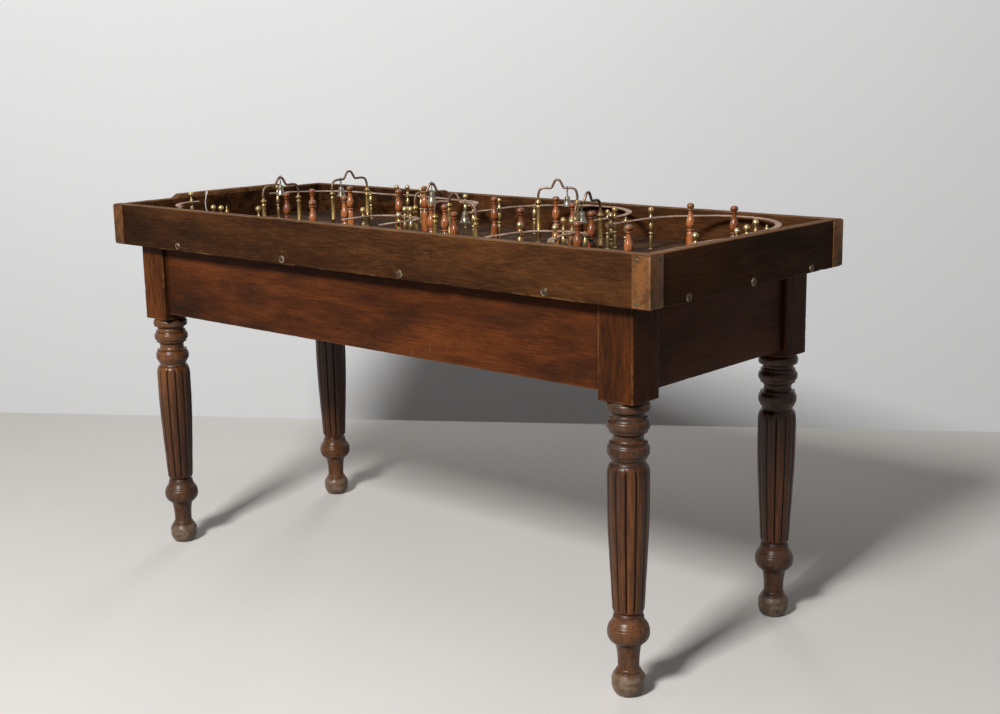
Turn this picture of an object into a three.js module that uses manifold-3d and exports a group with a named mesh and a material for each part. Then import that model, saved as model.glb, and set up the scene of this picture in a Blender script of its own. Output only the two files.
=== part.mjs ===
// A table ninepins game: a tray on four turned legs, with low iron rails on brass posts, bells hung
// in wire arches, turned wooden pins standing free on the playfield, and the cord that spins the top.
// Millimetres. X runs along the tray, Y across it and Z up. The origin is on the floor, under the
// middle of the tray. "Left" is -X, the launching end, and "front" is -Y.

import * as THREE from "three";
import { mergeVertices } from "three/addons/utils/BufferGeometryUtils.js";
import Module from "manifold-3d";

const wasm = await Module();
wasm.setup();

// Tray
const TRAY_LENGTH = 1507;
const TRAY_WIDTH = 616;
const RIM_HEIGHT = 800;
const WALL_HEIGHT = 91;
const WALL_THICKNESS = 24;
const PLAYFIELD_THICKNESS = 25;

// The launching end stands a little higher in its middle
const END_RISE = 9;
const END_RISE_FLAT = 294;
const END_RISE_RAMP = 20;
const END_RISE_OFFSET = 12;

// Round-headed bolts through the walls into the edge of the playfield
const BOLT_HEAD_DIAMETER = 15;
const BOLT_HEAD_HEIGHT = 3.5;
const BOLT_SEAT_DEPTH = 2;
const BOLT_SIDES = 6;
const LONG_WALL_BOLT_SHARES = [-0.686, -0.218, 0.235, 0.706];
const LONG_WALL_BOLT_LIFT = 11;
const END_WALL_BOLT_SHARES = [-0.645, 0, 0.64];
const END_WALL_BOLT_LIFT = 8.5;

// Copper straps on the tray's corners
const STRAP_LEG = 35;
const STRAP_THICKNESS = 2;
const STRAP_MARGIN = 2;
const STRAP_CORNER_RADIUS = 3.2;
const STRAP_SCREW_DIAMETER = 8;
const STRAP_SCREW_HEIGHT = 1.6;
const STRAP_SCREW_SHARES = [0.09, 0.91];
const STRAP_SCREW_REACH_SHARE = 0.7;
const STRAP_CORNER_STEPS = 3;

// Table base
const BASE_INSET_ALONG = 56;
const BASE_INSET_ACROSS = 29.5;
const BASE_LENGTH = TRAY_LENGTH - 2 * BASE_INSET_ALONG;
const BASE_WIDTH = TRAY_WIDTH - 2 * BASE_INSET_ACROSS;
const BLOCK_SIDE = 75;
const BLOCK_HEIGHT = 171;
const APRON_DEPTH = 156;
const APRON_THICKNESS = 22;
const APRON_RECESS = 8;

// Turned leg, from the floor up: foot, ankle, bulb, reeded taper and two beads
const FOOT_DIAMETER = 60;
const FOOT_HEIGHT = 42;
const ANKLE_DIAMETER = 38;
const ANKLE_TOP = 96;
const BULB_DIAMETER = 76;
const BULB_TOP = 153;
const TAPER_BOTTOM_DIAMETER = 57;
const TAPER_TOP_DIAMETER = 75;
const TAPER_TOP = 424;
const BEAD_DIAMETER = 75;
const BEAD_NECK_DIAMETER = 52;
const LEG_SIDES = 16;
const REED_DEPTH = 3.2;

// Iron rail: a flat band lying on turned brass posts
const RAIL_WIDTH = 12;
const RAIL_THICKNESS = 2.2;
const RAIL_UNDERSIDE = 60;
const FRONT_RAIL_DROP = 4;
const FRONT_LOOP_RISE = 5;
const RAIL_STEP = 30;
const POST_TOP = 80.5;
const STUB_TOP = 67;
const POST_BALL_DIAMETER = 12.4;
const POST_FOOT_DIAMETER = 7.6;
const POST_BULGE_DIAMETER = 9.4;
const POST_NECK_DIAMETER = 4.4;
const POST_SIDES = 6;

// Bell arch: a bent wire between two brass tubes
const ARCH_POST_DIAMETER = 8.4;
const ARCH_COLLAR_DIAMETER = 12;
const ARCH_POST_HEIGHT = 85.5;
const ARCH_RISE = 44.5;
const ARCH_WIRE_DIAMETER = 5;
const ARCH_POST_SIDES = 6;
const ARCH_WIRE_SIDES = 6;
const ARCH_WIRE_STEPS = 22;
const ARCH_OUTLINE_SHARES = [
  [-1, -0.1], [-1, 0.3], [-0.9, 0.54], [-0.7, 0.61], [-0.5, 0.61], [-0.32, 0.63], [-0.2, 0.82],
  [-0.09, 0.97], [0.09, 0.97], [0.2, 0.82], [0.32, 0.63], [0.5, 0.61], [0.7, 0.61], [0.9, 0.54],
  [1, 0.3], [1, -0.1],
];

// Bell
const BELL_MOUTH_DIAMETER = 21;
const BELL_HEIGHT = 23;
const BELL_WALL = 1;
const BELL_DROP = 15;
const BELL_STEM_DIAMETER = 2.2;
const BELL_RING_WIRE = 1.8;
const BELL_RING_CLEARANCE = 0.3;
const BELL_SIDES = 8;
const BELL_RING_SIDES = 4;

// Turned pin
const PIN_HEIGHT = 100;
const PIN_FOOT_DIAMETER = 17.6;
const PIN_BELLY_DIAMETER = 16.4;
const PIN_NECK_DIAMETER = 8.2;
const PIN_HEAD_DIAMETER = 13.6;
const PIN_SIDES = 8;

// Cord for spinning the top, and the eye that it is tied to
const CORD_DIAMETER = 3;
const EYE_PLATE_WIDTH = 7;
const EYE_PLATE_HEIGHT = 9;
const EYE_PLATE_THICKNESS = 1.2;
const EYE_RING_DIAMETER = 6;
const EYE_RING_WIRE = 1.6;
const EYE_TOP_MARGIN = 2;
const EYE_OFFSET = -72;
const CORD_GAP = 0.3;
const CORD_STEPS = 28;
const COIL_LOOPS = 4.75;
const COIL_OUTER_RADIUS = 21;
const COIL_PITCH = 3.6;
const COIL_CLIMB_SHARE = 0.25;
const COIL_REVERSE_SHARE = 0.12;
const COIL_CENTRE = [-688, 0];
const COIL_STEPS_PER_LOOP = 24;
const COIL_SIDES = 6;
const KNOT_SCALE = 1.8;
const KNOT_RINGS = 4;

// General
const SMALL_SIDES = 8;
const WELD_TOLERANCE = 0.0001;
const RIGHT_ANGLE = Math.PI / 2;
const DEGREE = Math.PI / 180;

// Heights and half sizes that follow from these
const TRAY_BOTTOM = RIM_HEIGHT - WALL_HEIGHT;
const PLAYFIELD = TRAY_BOTTOM + PLAYFIELD_THICKNESS;
const HALF_LENGTH = TRAY_LENGTH / 2 - WALL_THICKNESS;
const HALF_WIDTH = TRAY_WIDTH / 2 - WALL_THICKNESS;
const BLOCK_BOTTOM = TRAY_BOTTOM - BLOCK_HEIGHT;

// Places on the playfield, as shares of its half length and half width
const RAILS = [
  { name: "rail_corner_left", centreShares: [-0.795, -0.528], radiusShares: [0.118, 0.303],
    from: 255, to: 172, legShares: [0, 0], postShares: [0.835], stubShares: [0.03] },
  { name: "rail_left_ring", centreShares: [-0.699, 0.194], radiusShares: [0.219, 0.563],
    from: 172, to: 90, legShares: [0, 0.2], postShares: [0.055, 0.992], stubShares: [0.277, 0.743] },
  { name: "rail_back", centreShares: [-0.192, 0.405], radiusShares: [0.121, 0.31],
    from: 83, to: 10, legShares: [0.313, 0], postShares: [0.025, 0.18, 0.645], stubShares: [0.92] },
  { name: "rail_front_left", centreShares: [-0.35, -1.065], radiusShares: [0.055, 0.141],
    from: 90, to: 80, legShares: [0.262, 0], postShares: [0.017, 0.15, 0.26, 0.81], stubShares: [],
    drop: FRONT_RAIL_DROP },
  { name: "rail_front_loop", centreShares: [0.0134, -0.62], radiusShares: [0.0905, 0.18],
    from: 180, to: 0, legShares: [0.082, 0.11], postShares: [0.169, 0.457, 0.523, 0.853], stubShares: [],
    drop: -FRONT_LOOP_RISE },
  { name: "rail_middle_ring", centreShares: [0.2698, 0.405], radiusShares: [0.2108, 0.563],
    from: 180, to: 0, legShares: [0.117, 0.082], postShares: [0.012, 0.144, 0.887, 0.927],
    stubShares: [0.285, 0.427] },
  { name: "rail_front_arc", centreShares: [0.603, -0.722], radiusShares: [0.121, 0.31],
    from: 180, to: 62, legShares: [0.069, 0], postShares: [0.37, 0.727, 0.799], stubShares: [0.07, 0.96] },
  { name: "rail_front_spur", centreShares: [0.7676, -0.4225], radiusShares: [0.1576, 0.528],
    from: 235, to: 184, legShares: [0, 0], postShares: [0.482], stubShares: [0.1, 0.9] },
  { name: "rail_right_ring", centreShares: [0.7677, 0.423], radiusShares: [0.195, 0.518],
    from: 180, to: 0, legShares: [0.144, 0.323],
    postShares: [0.013, 0.166, 0.749, 0.789, 0.822, 0.987], stubShares: [0.0665, 0.703] },
];
const ARCHES = [
  { leftShares: [-0.488, -0.683], rightShares: [-0.498, -0.317], hangShare: 0 },
  { leftShares: [-0.482, -0.004], rightShares: [-0.482, 0.366], hangShare: -0.5 },
  { leftShares: [0.034, -0.394], rightShares: [0.069, -0.141], hangShare: 0 },
  { leftShares: [0.24, -0.732], rightShares: [0.371, -0.694], hangShare: 0.5 },
  { leftShares: [0.234, 0.352], rightShares: [0.328, 0.5], hangShare: 0.5 },
  { leftShares: [0.592, -0.352], rightShares: [0.58, -0.053], hangShare: -0.5 },
];
const PIN_SHARES = [
  [-0.44, -0.56], [-0.193, -0.849], [-0.4618, -0.257], [-0.212, -0.5], [-0.433, 0.067], [-0.219, 0.07],
  [-0.228, 0.373], [0.144, -0.518], [0.203, -0.539], [0.351, -0.842], [0.181, 0.028], [0.435, -0.43],
  [0.317, 0.296], [0.466, 0.014], [0.748, -0.824], [0.636, -0.327], [0.891, -0.799], [0.736, 0.412],
  [0.87, 0.412],
];

// Cord route from its eye to its coil, chosen by hand
const CORD_ROUTE = [
  [-720.2, -72, 807.6], [-720.6, -74.6, 798], [-721.4, -76.6, 788], [-722.2, -76.4, 777],
  [-722, -74.4, 766], [-720.8, -72.4, 755], [-718, -70.2, 746.4], [-713, -67, 739.6],
  [-706.4, -62, 736.4], [-698, -55, 735.8], [-688, -47, 735.8], [-677.6, -38, 735.8],
  [-670.4, -28, 735.8], [-667.8, -18, 735.8], [-667, -9, 735.8], [-667, -0.3, 735.8],
];

const game = new THREE.Group();

// Finishes
const FINISHES = {
  trayWood: { color: 0x4a2c1c, roughness: 0.55, metalness: 0 },
  baseWood: { color: 0x55301d, roughness: 0.6, metalness: 0 },
  playfield: { color: 0x3d3430, roughness: 0.7, metalness: 0 },
  copper: { color: 0x8a5a3c, roughness: 0.45, metalness: 0.8 },
  brass: { color: 0xa8945a, roughness: 0.4, metalness: 0.9 },
  iron: { color: 0x6f564c, roughness: 0.6, metalness: 0.7 },
  bellMetal: { color: 0xb9bdb0, roughness: 0.35, metalness: 0.9 },
  pinWood: { color: 0x8c4a2e, roughness: 0.35, metalness: 0 },
  cotton: { color: 0xe4ddd0, roughness: 0.9, metalness: 0 },
};

/** Adds a named sub-part with its finish. */
function addPart(name, geometry, finish) {
  const mesh = new THREE.Mesh(geometry, new THREE.MeshStandardMaterial(FINISHES[finish]));
  mesh.name = name;
  game.add(mesh);
  return mesh;
}

/** Merges shared vertices and drops the triangles that collapse. */
function weld(geometry) {
  const plain = geometry.clone();
  plain.deleteAttribute("normal");
  plain.deleteAttribute("uv");
  const merged = mergeVertices(plain, WELD_TOLERANCE);
  const corners = merged.getIndex().array;
  const kept = [];
  for (let i = 0; i < corners.length; i += 3) {
    const [a, b, c] = corners.slice(i, i + 3);
    if (a !== b && b !== c && c !== a) {
      kept.push(a, b, c);
    }
  }
  merged.setIndex(kept);
  return merged;
}

/** Turns a closed geometry into a solid that can be joined and cut. */
function toSolid(geometry) {
  const welded = weld(geometry);
  return new wasm.Manifold(new wasm.Mesh({
    numProp: 3,
    vertProperties: new Float32Array(welded.getAttribute("position").array),
    triVerts: new Uint32Array(welded.getIndex().array),
  }));
}

/** Turns a solid back into a geometry. */
function toGeometry(solid) {
  const mesh = solid.getMesh();
  const geometry = new THREE.BufferGeometry();
  geometry.setAttribute("position", new THREE.BufferAttribute(new Float32Array(mesh.vertProperties), 3));
  geometry.setIndex(Array.from(mesh.triVerts));
  return geometry;
}

/** Joins closed geometries into one body. */
function join(geometries) {
  let solid = toSolid(geometries[0]);
  for (const geometry of geometries.slice(1)) {
    solid = solid.add(toSolid(geometry));
  }
  return toGeometry(solid);
}

/** A board with its size and the centre of its underside. */
function board(length, width, height, x, y, bottom) {
  const geometry = new THREE.BoxGeometry(length, width, height);
  geometry.translate(x, y, bottom + height / 2);
  return geometry;
}

/** A turned piece standing on Z, from [diameter, height] pairs given from the bottom up. */
function turned(profile, sides) {
  const bottom = profile[0][1];
  const top = profile[profile.length - 1][1];
  const outline = [new THREE.Vector2(0, bottom)];
  for (const [diameter, height] of profile) {
    outline.push(new THREE.Vector2(diameter / 2, height));
  }
  outline.push(new THREE.Vector2(0, top));
  const geometry = new THREE.LatheGeometry(outline, sides);
  geometry.rotateX(RIGHT_ANGLE);
  return geometry;
}

/** A round tube that follows a curve. */
function tube(curve, diameter, sides, steps) {
  const section = new THREE.Shape();
  for (let i = 0; i < sides; i += 1) {
    const angle = 2 * Math.PI * i / sides;
    const point = [diameter / 2 * Math.cos(angle), diameter / 2 * Math.sin(angle)];
    if (i === 0) {
      section.moveTo(...point);
    } else {
      section.lineTo(...point);
    }
  }
  section.closePath();
  return new THREE.ExtrudeGeometry(section, { steps, bevelEnabled: false, extrudePath: curve });
}

/** The head of a bolt or screw that stands out of a face, pointing along `outward`. */
function head(diameter, height, seat, position, outward) {
  const dome = turned([
    [diameter, -seat], [diameter, height * 0.3], [diameter * 0.6, height],
  ], BOLT_SIDES);
  const turn = new THREE.Quaternion().setFromUnitVectors(new THREE.Vector3(0, 0, 1), outward);
  dome.applyQuaternion(turn);
  dome.translate(position.x, position.y, position.z);
  return dome;
}

/** A place on the playfield from shares of its half length and half width. */
function onPlayfield([lengthShare, widthShare]) {
  return new THREE.Vector3(lengthShare * HALF_LENGTH, widthShare * HALF_WIDTH, PLAYFIELD);
}

// Playfield and walls

function addTray() {
  addPart("playfield_board",
    board(2 * HALF_LENGTH, 2 * HALF_WIDTH, PLAYFIELD_THICKNESS, 0, 0, TRAY_BOTTOM), "playfield");
  for (const [name, side] of [["long_wall_front", -1], ["long_wall_back", 1]]) {
    addPart(name, longWall(side), "trayWood");
  }
  addPart("end_wall_left", launchingEnd(), "trayWood");
  addPart("end_wall_right", plainEnd(), "trayWood");
}

/** Heads of the bolts that hold the playfield's edge. */
function boltHeads(places, outward) {
  return places.map((place) => head(BOLT_HEAD_DIAMETER, BOLT_HEAD_HEIGHT, BOLT_SEAT_DEPTH, place, outward));
}

function longWall(side) {
  const wall = board(TRAY_LENGTH, WALL_THICKNESS, WALL_HEIGHT, 0, side * (TRAY_WIDTH - WALL_THICKNESS) / 2,
    TRAY_BOTTOM);
  const height = TRAY_BOTTOM + LONG_WALL_BOLT_LIFT;
  const places = LONG_WALL_BOLT_SHARES.map((share) => (
    new THREE.Vector3(share * TRAY_LENGTH / 2, side * TRAY_WIDTH / 2, height)));
  return join([wall, ...boltHeads(places, new THREE.Vector3(0, side, 0))]);
}

/** Places of the bolts in an end wall. */
function endBoltPlaces(side) {
  const height = TRAY_BOTTOM + END_WALL_BOLT_LIFT;
  return END_WALL_BOLT_SHARES.map((share) => (
    new THREE.Vector3(side * TRAY_LENGTH / 2, share * TRAY_WIDTH / 2, height)));
}

function plainEnd() {
  const wall = board(WALL_THICKNESS, 2 * HALF_WIDTH, WALL_HEIGHT, (TRAY_LENGTH - WALL_THICKNESS) / 2, 0,
    TRAY_BOTTOM);
  return join([wall, ...boltHeads(endBoltPlaces(1), new THREE.Vector3(1, 0, 0))]);
}

/** The end wall at the launching end, with its raised middle. */
function launchingEnd() {
  const flat = END_RISE_FLAT / 2;
  const ramp = flat + END_RISE_RAMP;
  const outline = new THREE.Shape([
    new THREE.Vector2(-HALF_WIDTH, 0),
    new THREE.Vector2(HALF_WIDTH, 0),
    new THREE.Vector2(HALF_WIDTH, WALL_HEIGHT),
    new THREE.Vector2(END_RISE_OFFSET + ramp, WALL_HEIGHT),
    new THREE.Vector2(END_RISE_OFFSET + flat, WALL_HEIGHT + END_RISE),
    new THREE.Vector2(END_RISE_OFFSET - flat, WALL_HEIGHT + END_RISE),
    new THREE.Vector2(END_RISE_OFFSET - ramp, WALL_HEIGHT),
    new THREE.Vector2(-HALF_WIDTH, WALL_HEIGHT),
  ]);
  const wall = new THREE.ExtrudeGeometry(outline, { depth: WALL_THICKNESS, bevelEnabled: false });
  wall.rotateX(RIGHT_ANGLE);
  wall.rotateZ(RIGHT_ANGLE);
  wall.translate(-TRAY_LENGTH / 2, 0, TRAY_BOTTOM);
  return join([wall, ...boltHeads(endBoltPlaces(-1), new THREE.Vector3(-1, 0, 0))]);
}

// Corner straps

/** The strap of one corner: an angle of sheet with a rounded outer edge and its screws. */
function cornerStrap(sideX, sideY) {
  const outer = STRAP_THICKNESS;
  const shape = new THREE.Shape();
  shape.moveTo(0, 0);
  shape.lineTo(-STRAP_LEG, 0);
  shape.lineTo(-STRAP_LEG, outer);
  shape.lineTo(outer - STRAP_CORNER_RADIUS, outer);
  for (let i = 1; i <= STRAP_CORNER_STEPS; i += 1) {
    const angle = RIGHT_ANGLE * (1 - i / STRAP_CORNER_STEPS);
    shape.lineTo(outer - STRAP_CORNER_RADIUS * (1 - Math.cos(angle)),
      outer - STRAP_CORNER_RADIUS * (1 - Math.sin(angle)));
  }
  shape.lineTo(outer, -STRAP_LEG);
  shape.lineTo(0, -STRAP_LEG);
  shape.closePath();
  const height = WALL_HEIGHT - 2 * STRAP_MARGIN;
  const angleSheet = new THREE.ExtrudeGeometry(shape, { depth: height, bevelEnabled: false });
  const pieces = [angleSheet];
  for (const share of STRAP_SCREW_SHARES) {
    for (const outward of [new THREE.Vector3(0, 1, 0), new THREE.Vector3(1, 0, 0)]) {
      const place = outward.clone().multiplyScalar(STRAP_THICKNESS);
      place.addScaledVector(new THREE.Vector3(outward.y, outward.x, 0), -STRAP_LEG * STRAP_SCREW_REACH_SHARE);
      place.z = share * height;
      pieces.push(head(STRAP_SCREW_DIAMETER, STRAP_SCREW_HEIGHT, STRAP_THICKNESS / 2, place, outward));
    }
  }
  const strap = join(pieces);
  strap.rotateZ(cornerTurn(sideX, sideY));
  strap.translate(sideX * TRAY_LENGTH / 2, sideY * TRAY_WIDTH / 2, TRAY_BOTTOM + STRAP_MARGIN);
  return strap;
}

/** How far the back right corner is turned about Z to face another corner. */
function cornerTurn(sideX, sideY) {
  const turns = sideX > 0 ? (sideY > 0 ? 0 : 3) : (sideY > 0 ? 1 : 2);
  return turns * RIGHT_ANGLE;
}

function addStraps() {
  for (const [rowName, sideY] of [["front", -1], ["back", 1]]) {
    for (const [endName, sideX] of [["left", -1], ["right", 1]]) {
      addPart(`corner_strap_${rowName}_${endName}`, cornerStrap(sideX, sideY), "copper");
    }
  }
}

// Table base

/** Diameters and heights of the leg, from the floor to the underside of its block. */
function legProfile() {
  const foot = FOOT_DIAMETER;
  const bulb = BULB_DIAMETER;
  const bead = BEAD_DIAMETER;
  const neck = BEAD_NECK_DIAMETER;
  const rings = BULB_TOP - ANKLE_TOP;
  const beads = BLOCK_BOTTOM - TAPER_TOP;
  return {
    lower: [
      [foot * 0.68, 0], [foot * 0.92, FOOT_HEIGHT * 0.24], [foot, FOOT_HEIGHT * 0.6],
      [foot * 0.76, FOOT_HEIGHT], [ANKLE_DIAMETER, FOOT_HEIGHT * 1.17], [ANKLE_DIAMETER * 1.18, ANKLE_TOP],
      [bulb * 0.88, ANKLE_TOP + rings * 0.16], [bulb, ANKLE_TOP + rings * 0.37],
      [bulb * 0.88, ANKLE_TOP + rings * 0.56], [bulb * 0.62, ANKLE_TOP + rings * 0.96],
    ],
    reeded: [
      [TAPER_BOTTOM_DIAMETER * 0.84, BULB_TOP], [TAPER_BOTTOM_DIAMETER, BULB_TOP + rings * 0.12],
      [TAPER_BOTTOM_DIAMETER + (TAPER_TOP_DIAMETER - TAPER_BOTTOM_DIAMETER) * 0.6,
        BULB_TOP + (TAPER_TOP - BULB_TOP) * 0.42],
      [TAPER_TOP_DIAMETER, BULB_TOP + (TAPER_TOP - BULB_TOP) * 0.8], [TAPER_TOP_DIAMETER, TAPER_TOP],
    ],
    upper: [
      [bead * 0.84, TAPER_TOP + beads * 0.06], [bead, TAPER_TOP + beads * 0.24],
      [bead * 0.9, TAPER_TOP + beads * 0.3], [neck, TAPER_TOP + beads * 0.37],
      [neck, TAPER_TOP + beads * 0.49], [bead, TAPER_TOP + beads * 0.64],
      [neck * 1.15, TAPER_TOP + beads * 0.78], [bead * 0.96, TAPER_TOP + beads * 0.84],
    ],
  };
}

/** The turned part of a leg. Every second side of its reeded length is drawn in to a groove. */
function turnedLeg() {
  const { lower, reeded, upper } = legProfile();
  const seat = BLOCK_HEIGHT * 0.1;
  const profile = [...lower, ...reeded, ...upper, [BLOCK_SIDE * 0.96, BLOCK_BOTTOM + seat]];
  const geometry = weld(turned(profile, LEG_SIDES));
  const grooveStart = reeded[1][1];
  const grooveEnd = reeded[reeded.length - 1][1];
  const sideAngle = 2 * Math.PI / LEG_SIDES;
  const position = geometry.getAttribute("position");
  for (let i = 0; i < position.count; i += 1) {
    const point = new THREE.Vector3().fromBufferAttribute(position, i);
    const side = Math.round(Math.atan2(point.y, point.x) / sideAngle + LEG_SIDES);
    const reach = Math.hypot(point.x, point.y);
    const inLength = point.z > grooveStart - WELD_TOLERANCE && point.z < grooveEnd + WELD_TOLERANCE;
    if (inLength && side % 2 === 1) {
      const scale = (reach - REED_DEPTH) / reach;
      position.setXYZ(i, point.x * scale, point.y * scale, point.z);
    }
  }
  return geometry;
}

function addLegs() {
  const block = board(BLOCK_SIDE, BLOCK_SIDE, BLOCK_HEIGHT, 0, 0, BLOCK_BOTTOM);
  const leg = join([turnedLeg(), block]);
  for (const [rowName, sideY] of [["front", -1], ["back", 1]]) {
    for (const [endName, sideX] of [["left", -1], ["right", 1]]) {
      const mesh = addPart(`leg_${rowName}_${endName}`, leg.clone(), "baseWood");
      mesh.position.set(sideX * (BASE_LENGTH - BLOCK_SIDE) / 2, sideY * (BASE_WIDTH - BLOCK_SIDE) / 2, 0);
    }
  }
}

function addAprons() {
  const bottom = TRAY_BOTTOM - APRON_DEPTH;
  const acrossOffset = BASE_WIDTH / 2 - APRON_RECESS - APRON_THICKNESS / 2;
  const alongOffset = BASE_LENGTH / 2 - APRON_RECESS - APRON_THICKNESS / 2;
  const longLength = BASE_LENGTH - 2 * BLOCK_SIDE;
  const shortLength = BASE_WIDTH - 2 * BLOCK_SIDE;
  for (const [name, side] of [["apron_front", -1], ["apron_back", 1]]) {
    addPart(name, board(longLength, APRON_THICKNESS, APRON_DEPTH, 0, side * acrossOffset, bottom), "baseWood");
  }
  for (const [name, side] of [["apron_left", -1], ["apron_right", 1]]) {
    addPart(name, board(APRON_THICKNESS, shortLength, APRON_DEPTH, side * alongOffset, 0, bottom), "baseWood");
  }
}

// Rails

/** The line of a rail: a straight leg, a clockwise arc and a straight leg. */
class RailLine extends THREE.Curve {
  constructor(rail) {
    super();
    this.centre = onPlayfield(rail.centreShares);
    this.centre.z += RAIL_UNDERSIDE + RAIL_THICKNESS / 2 - (rail.drop ?? 0);
    this.reach = [rail.radiusShares[0] * HALF_LENGTH, rail.radiusShares[1] * HALF_WIDTH];
    this.from = rail.from * DEGREE;
    this.to = rail.to * DEGREE;
    const start = this.onArc(0);
    const finish = this.onArc(1);
    this.legs = rail.legShares.map((share) => share * HALF_LENGTH);
    this.arcLength = (this.from - this.to) * (this.reach[0] + this.reach[1]) / 2;
    this.start = start.clone().addScaledVector(this.heading(0), -this.legs[0]);
    this.finish = finish.clone().addScaledVector(this.heading(1), this.legs[1]);
    this.whole = this.legs[0] + this.arcLength + this.legs[1];
  }

  onArc(share) {
    const angle = this.from + (this.to - this.from) * share;
    return this.centre.clone().add(
      new THREE.Vector3(this.reach[0] * Math.cos(angle), this.reach[1] * Math.sin(angle), 0));
  }

  heading(share) {
    const angle = this.from + (this.to - this.from) * share;
    return new THREE.Vector3(this.reach[0] * Math.sin(angle), -this.reach[1] * Math.cos(angle), 0).normalize();
  }

  getPoint(share) {
    const along = share * this.whole;
    if (along < this.legs[0]) {
      return this.start.clone().addScaledVector(this.heading(0), along);
    }
    if (along <= this.legs[0] + this.arcLength) {
      return this.onArc((along - this.legs[0]) / this.arcLength);
    }
    return this.finish.clone().addScaledVector(this.heading(1), along - this.whole);
  }
}

/** A turned brass post that holds a rail up. It ends in a ball over the rail, or as a plain stub. */
function railPost(place, drop, hasBall) {
  const ball = POST_BALL_DIAMETER;
  const bulge = POST_BULGE_DIAMETER;
  const neck = POST_NECK_DIAMETER;
  const under = RAIL_UNDERSIDE - drop;
  const over = under + RAIL_THICKNESS;
  const top = POST_TOP - drop;
  const rise = top - over;
  const shaft = [
    [POST_FOOT_DIAMETER, 0], [neck * 1.2, under * 0.59], [bulge, under * 0.73], [neck, under * 0.89],
    [bulge * 0.9, under], [bulge * 0.9, over],
  ];
  const ballHead = [[neck, over + rise * 0.25], [ball, over + rise * 0.65], [ball * 0.4, top]];
  const stubHead = [[neck, STUB_TOP - drop]];
  const post = turned([...shaft, ...(hasBall ? ballHead : stubHead)], POST_SIDES);
  post.translate(place.x, place.y, PLAYFIELD);
  return post;
}

function addRails() {
  const section = new THREE.Shape([
    new THREE.Vector2(-RAIL_THICKNESS / 2, -RAIL_WIDTH / 2),
    new THREE.Vector2(RAIL_THICKNESS / 2, -RAIL_WIDTH / 2),
    new THREE.Vector2(RAIL_THICKNESS / 2, RAIL_WIDTH / 2),
    new THREE.Vector2(-RAIL_THICKNESS / 2, RAIL_WIDTH / 2),
  ]);
  for (const rail of RAILS) {
    const line = new RailLine(rail);
    const steps = Math.ceil(line.whole / RAIL_STEP);
    const band = new THREE.ExtrudeGeometry(section, { steps, bevelEnabled: false, extrudePath: line });
    const drop = rail.drop ?? 0;
    const posts = rail.postShares.map((share) => railPost(line.getPointAt(share), drop, true));
    const stubs = rail.stubShares.map((share) => railPost(line.getPointAt(share), drop, false));
    addPart(rail.name, join([band, ...posts, ...stubs]), "iron");
  }
}

// Bell arches and bells

/** The frame of an arch: its middle on the playfield, its half span and its direction. */
function archFrame(arch) {
  const left = onPlayfield(arch.leftShares);
  const right = onPlayfield(arch.rightShares);
  const along = right.clone().sub(left);
  return {
    middle: left.clone().add(right).multiplyScalar(0.5),
    halfSpan: along.length() / 2,
    turn: Math.atan2(along.y, along.x),
  };
}

/** The bent line of an arch's wire, in its own X and Z, with Z from the playfield. */
function archLine(halfSpan) {
  const points = ARCH_OUTLINE_SHARES.map(([spanShare, riseShare]) => (
    new THREE.Vector3(spanShare * halfSpan, 0, ARCH_POST_HEIGHT + riseShare * ARCH_RISE)));
  return new THREE.CatmullRomCurve3(points, false, "centripetal");
}

/** The point of an arch's wire that lies over a share of its half span. */
function onWire(line, halfSpan, share) {
  let low = 0;
  let high = 1;
  while (high - low > WELD_TOLERANCE * WELD_TOLERANCE) {
    const middle = (low + high) / 2;
    if (line.getPoint(middle).x < share * halfSpan) {
      low = middle;
    } else {
      high = middle;
    }
  }
  return line.getPoint(low);
}

/** One of the two brass tubes of an arch, with its two collars. */
function archPost(x) {
  const tubeDiameter = ARCH_POST_DIAMETER;
  const collar = ARCH_COLLAR_DIAMETER;
  const top = ARCH_POST_HEIGHT;
  const post = turned([
    [tubeDiameter, 0], [tubeDiameter, top * 0.86], [collar * 0.84, top * 0.88], [collar * 0.84, top * 0.905],
    [tubeDiameter * 0.8, top * 0.93], [collar, top * 0.97], [collar, top * 0.99],
    [ARCH_WIRE_DIAMETER * 1.1, top * 1.03],
  ], ARCH_POST_SIDES);
  post.translate(x, 0, 0);
  return post;
}

/** A bell with its stem and the ring that goes round the wire, hung at the origin. */
function bell() {
  const mouth = BELL_MOUTH_DIAMETER;
  const wall = BELL_WALL;
  const height = BELL_HEIGHT;
  const outside = [[1, 0], [0.8, 0.18], [0.56, 0.6], [0.42, 0.9], [0.14, 1]];
  const outline = [new THREE.Vector2(0, height - 2 * wall)];
  for (const [widthShare, heightShare] of [...outside.slice(0, -1)].reverse()) {
    outline.push(new THREE.Vector2(widthShare * mouth / 2 - wall, heightShare * (height - 2 * wall)));
  }
  for (const [widthShare, heightShare] of outside) {
    outline.push(new THREE.Vector2(widthShare * mouth / 2, heightShare * height));
  }
  outline.push(new THREE.Vector2(0, height));
  const shell = new THREE.LatheGeometry(outline, BELL_SIDES);
  shell.rotateX(RIGHT_ANGLE);
  shell.translate(0, 0, -BELL_DROP - height);
  const ringReach = ARCH_WIRE_DIAMETER / 2 + BELL_RING_CLEARANCE + BELL_RING_WIRE / 2;
  const ring = new THREE.TorusGeometry(ringReach, BELL_RING_WIRE / 2, BELL_RING_SIDES, BELL_SIDES);
  ring.rotateY(RIGHT_ANGLE);
  const stem = turned([
    [BELL_STEM_DIAMETER, -BELL_DROP - wall], [BELL_STEM_DIAMETER, -ringReach],
  ], ARCH_WIRE_SIDES);
  return join([shell, stem, ring]);
}

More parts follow.
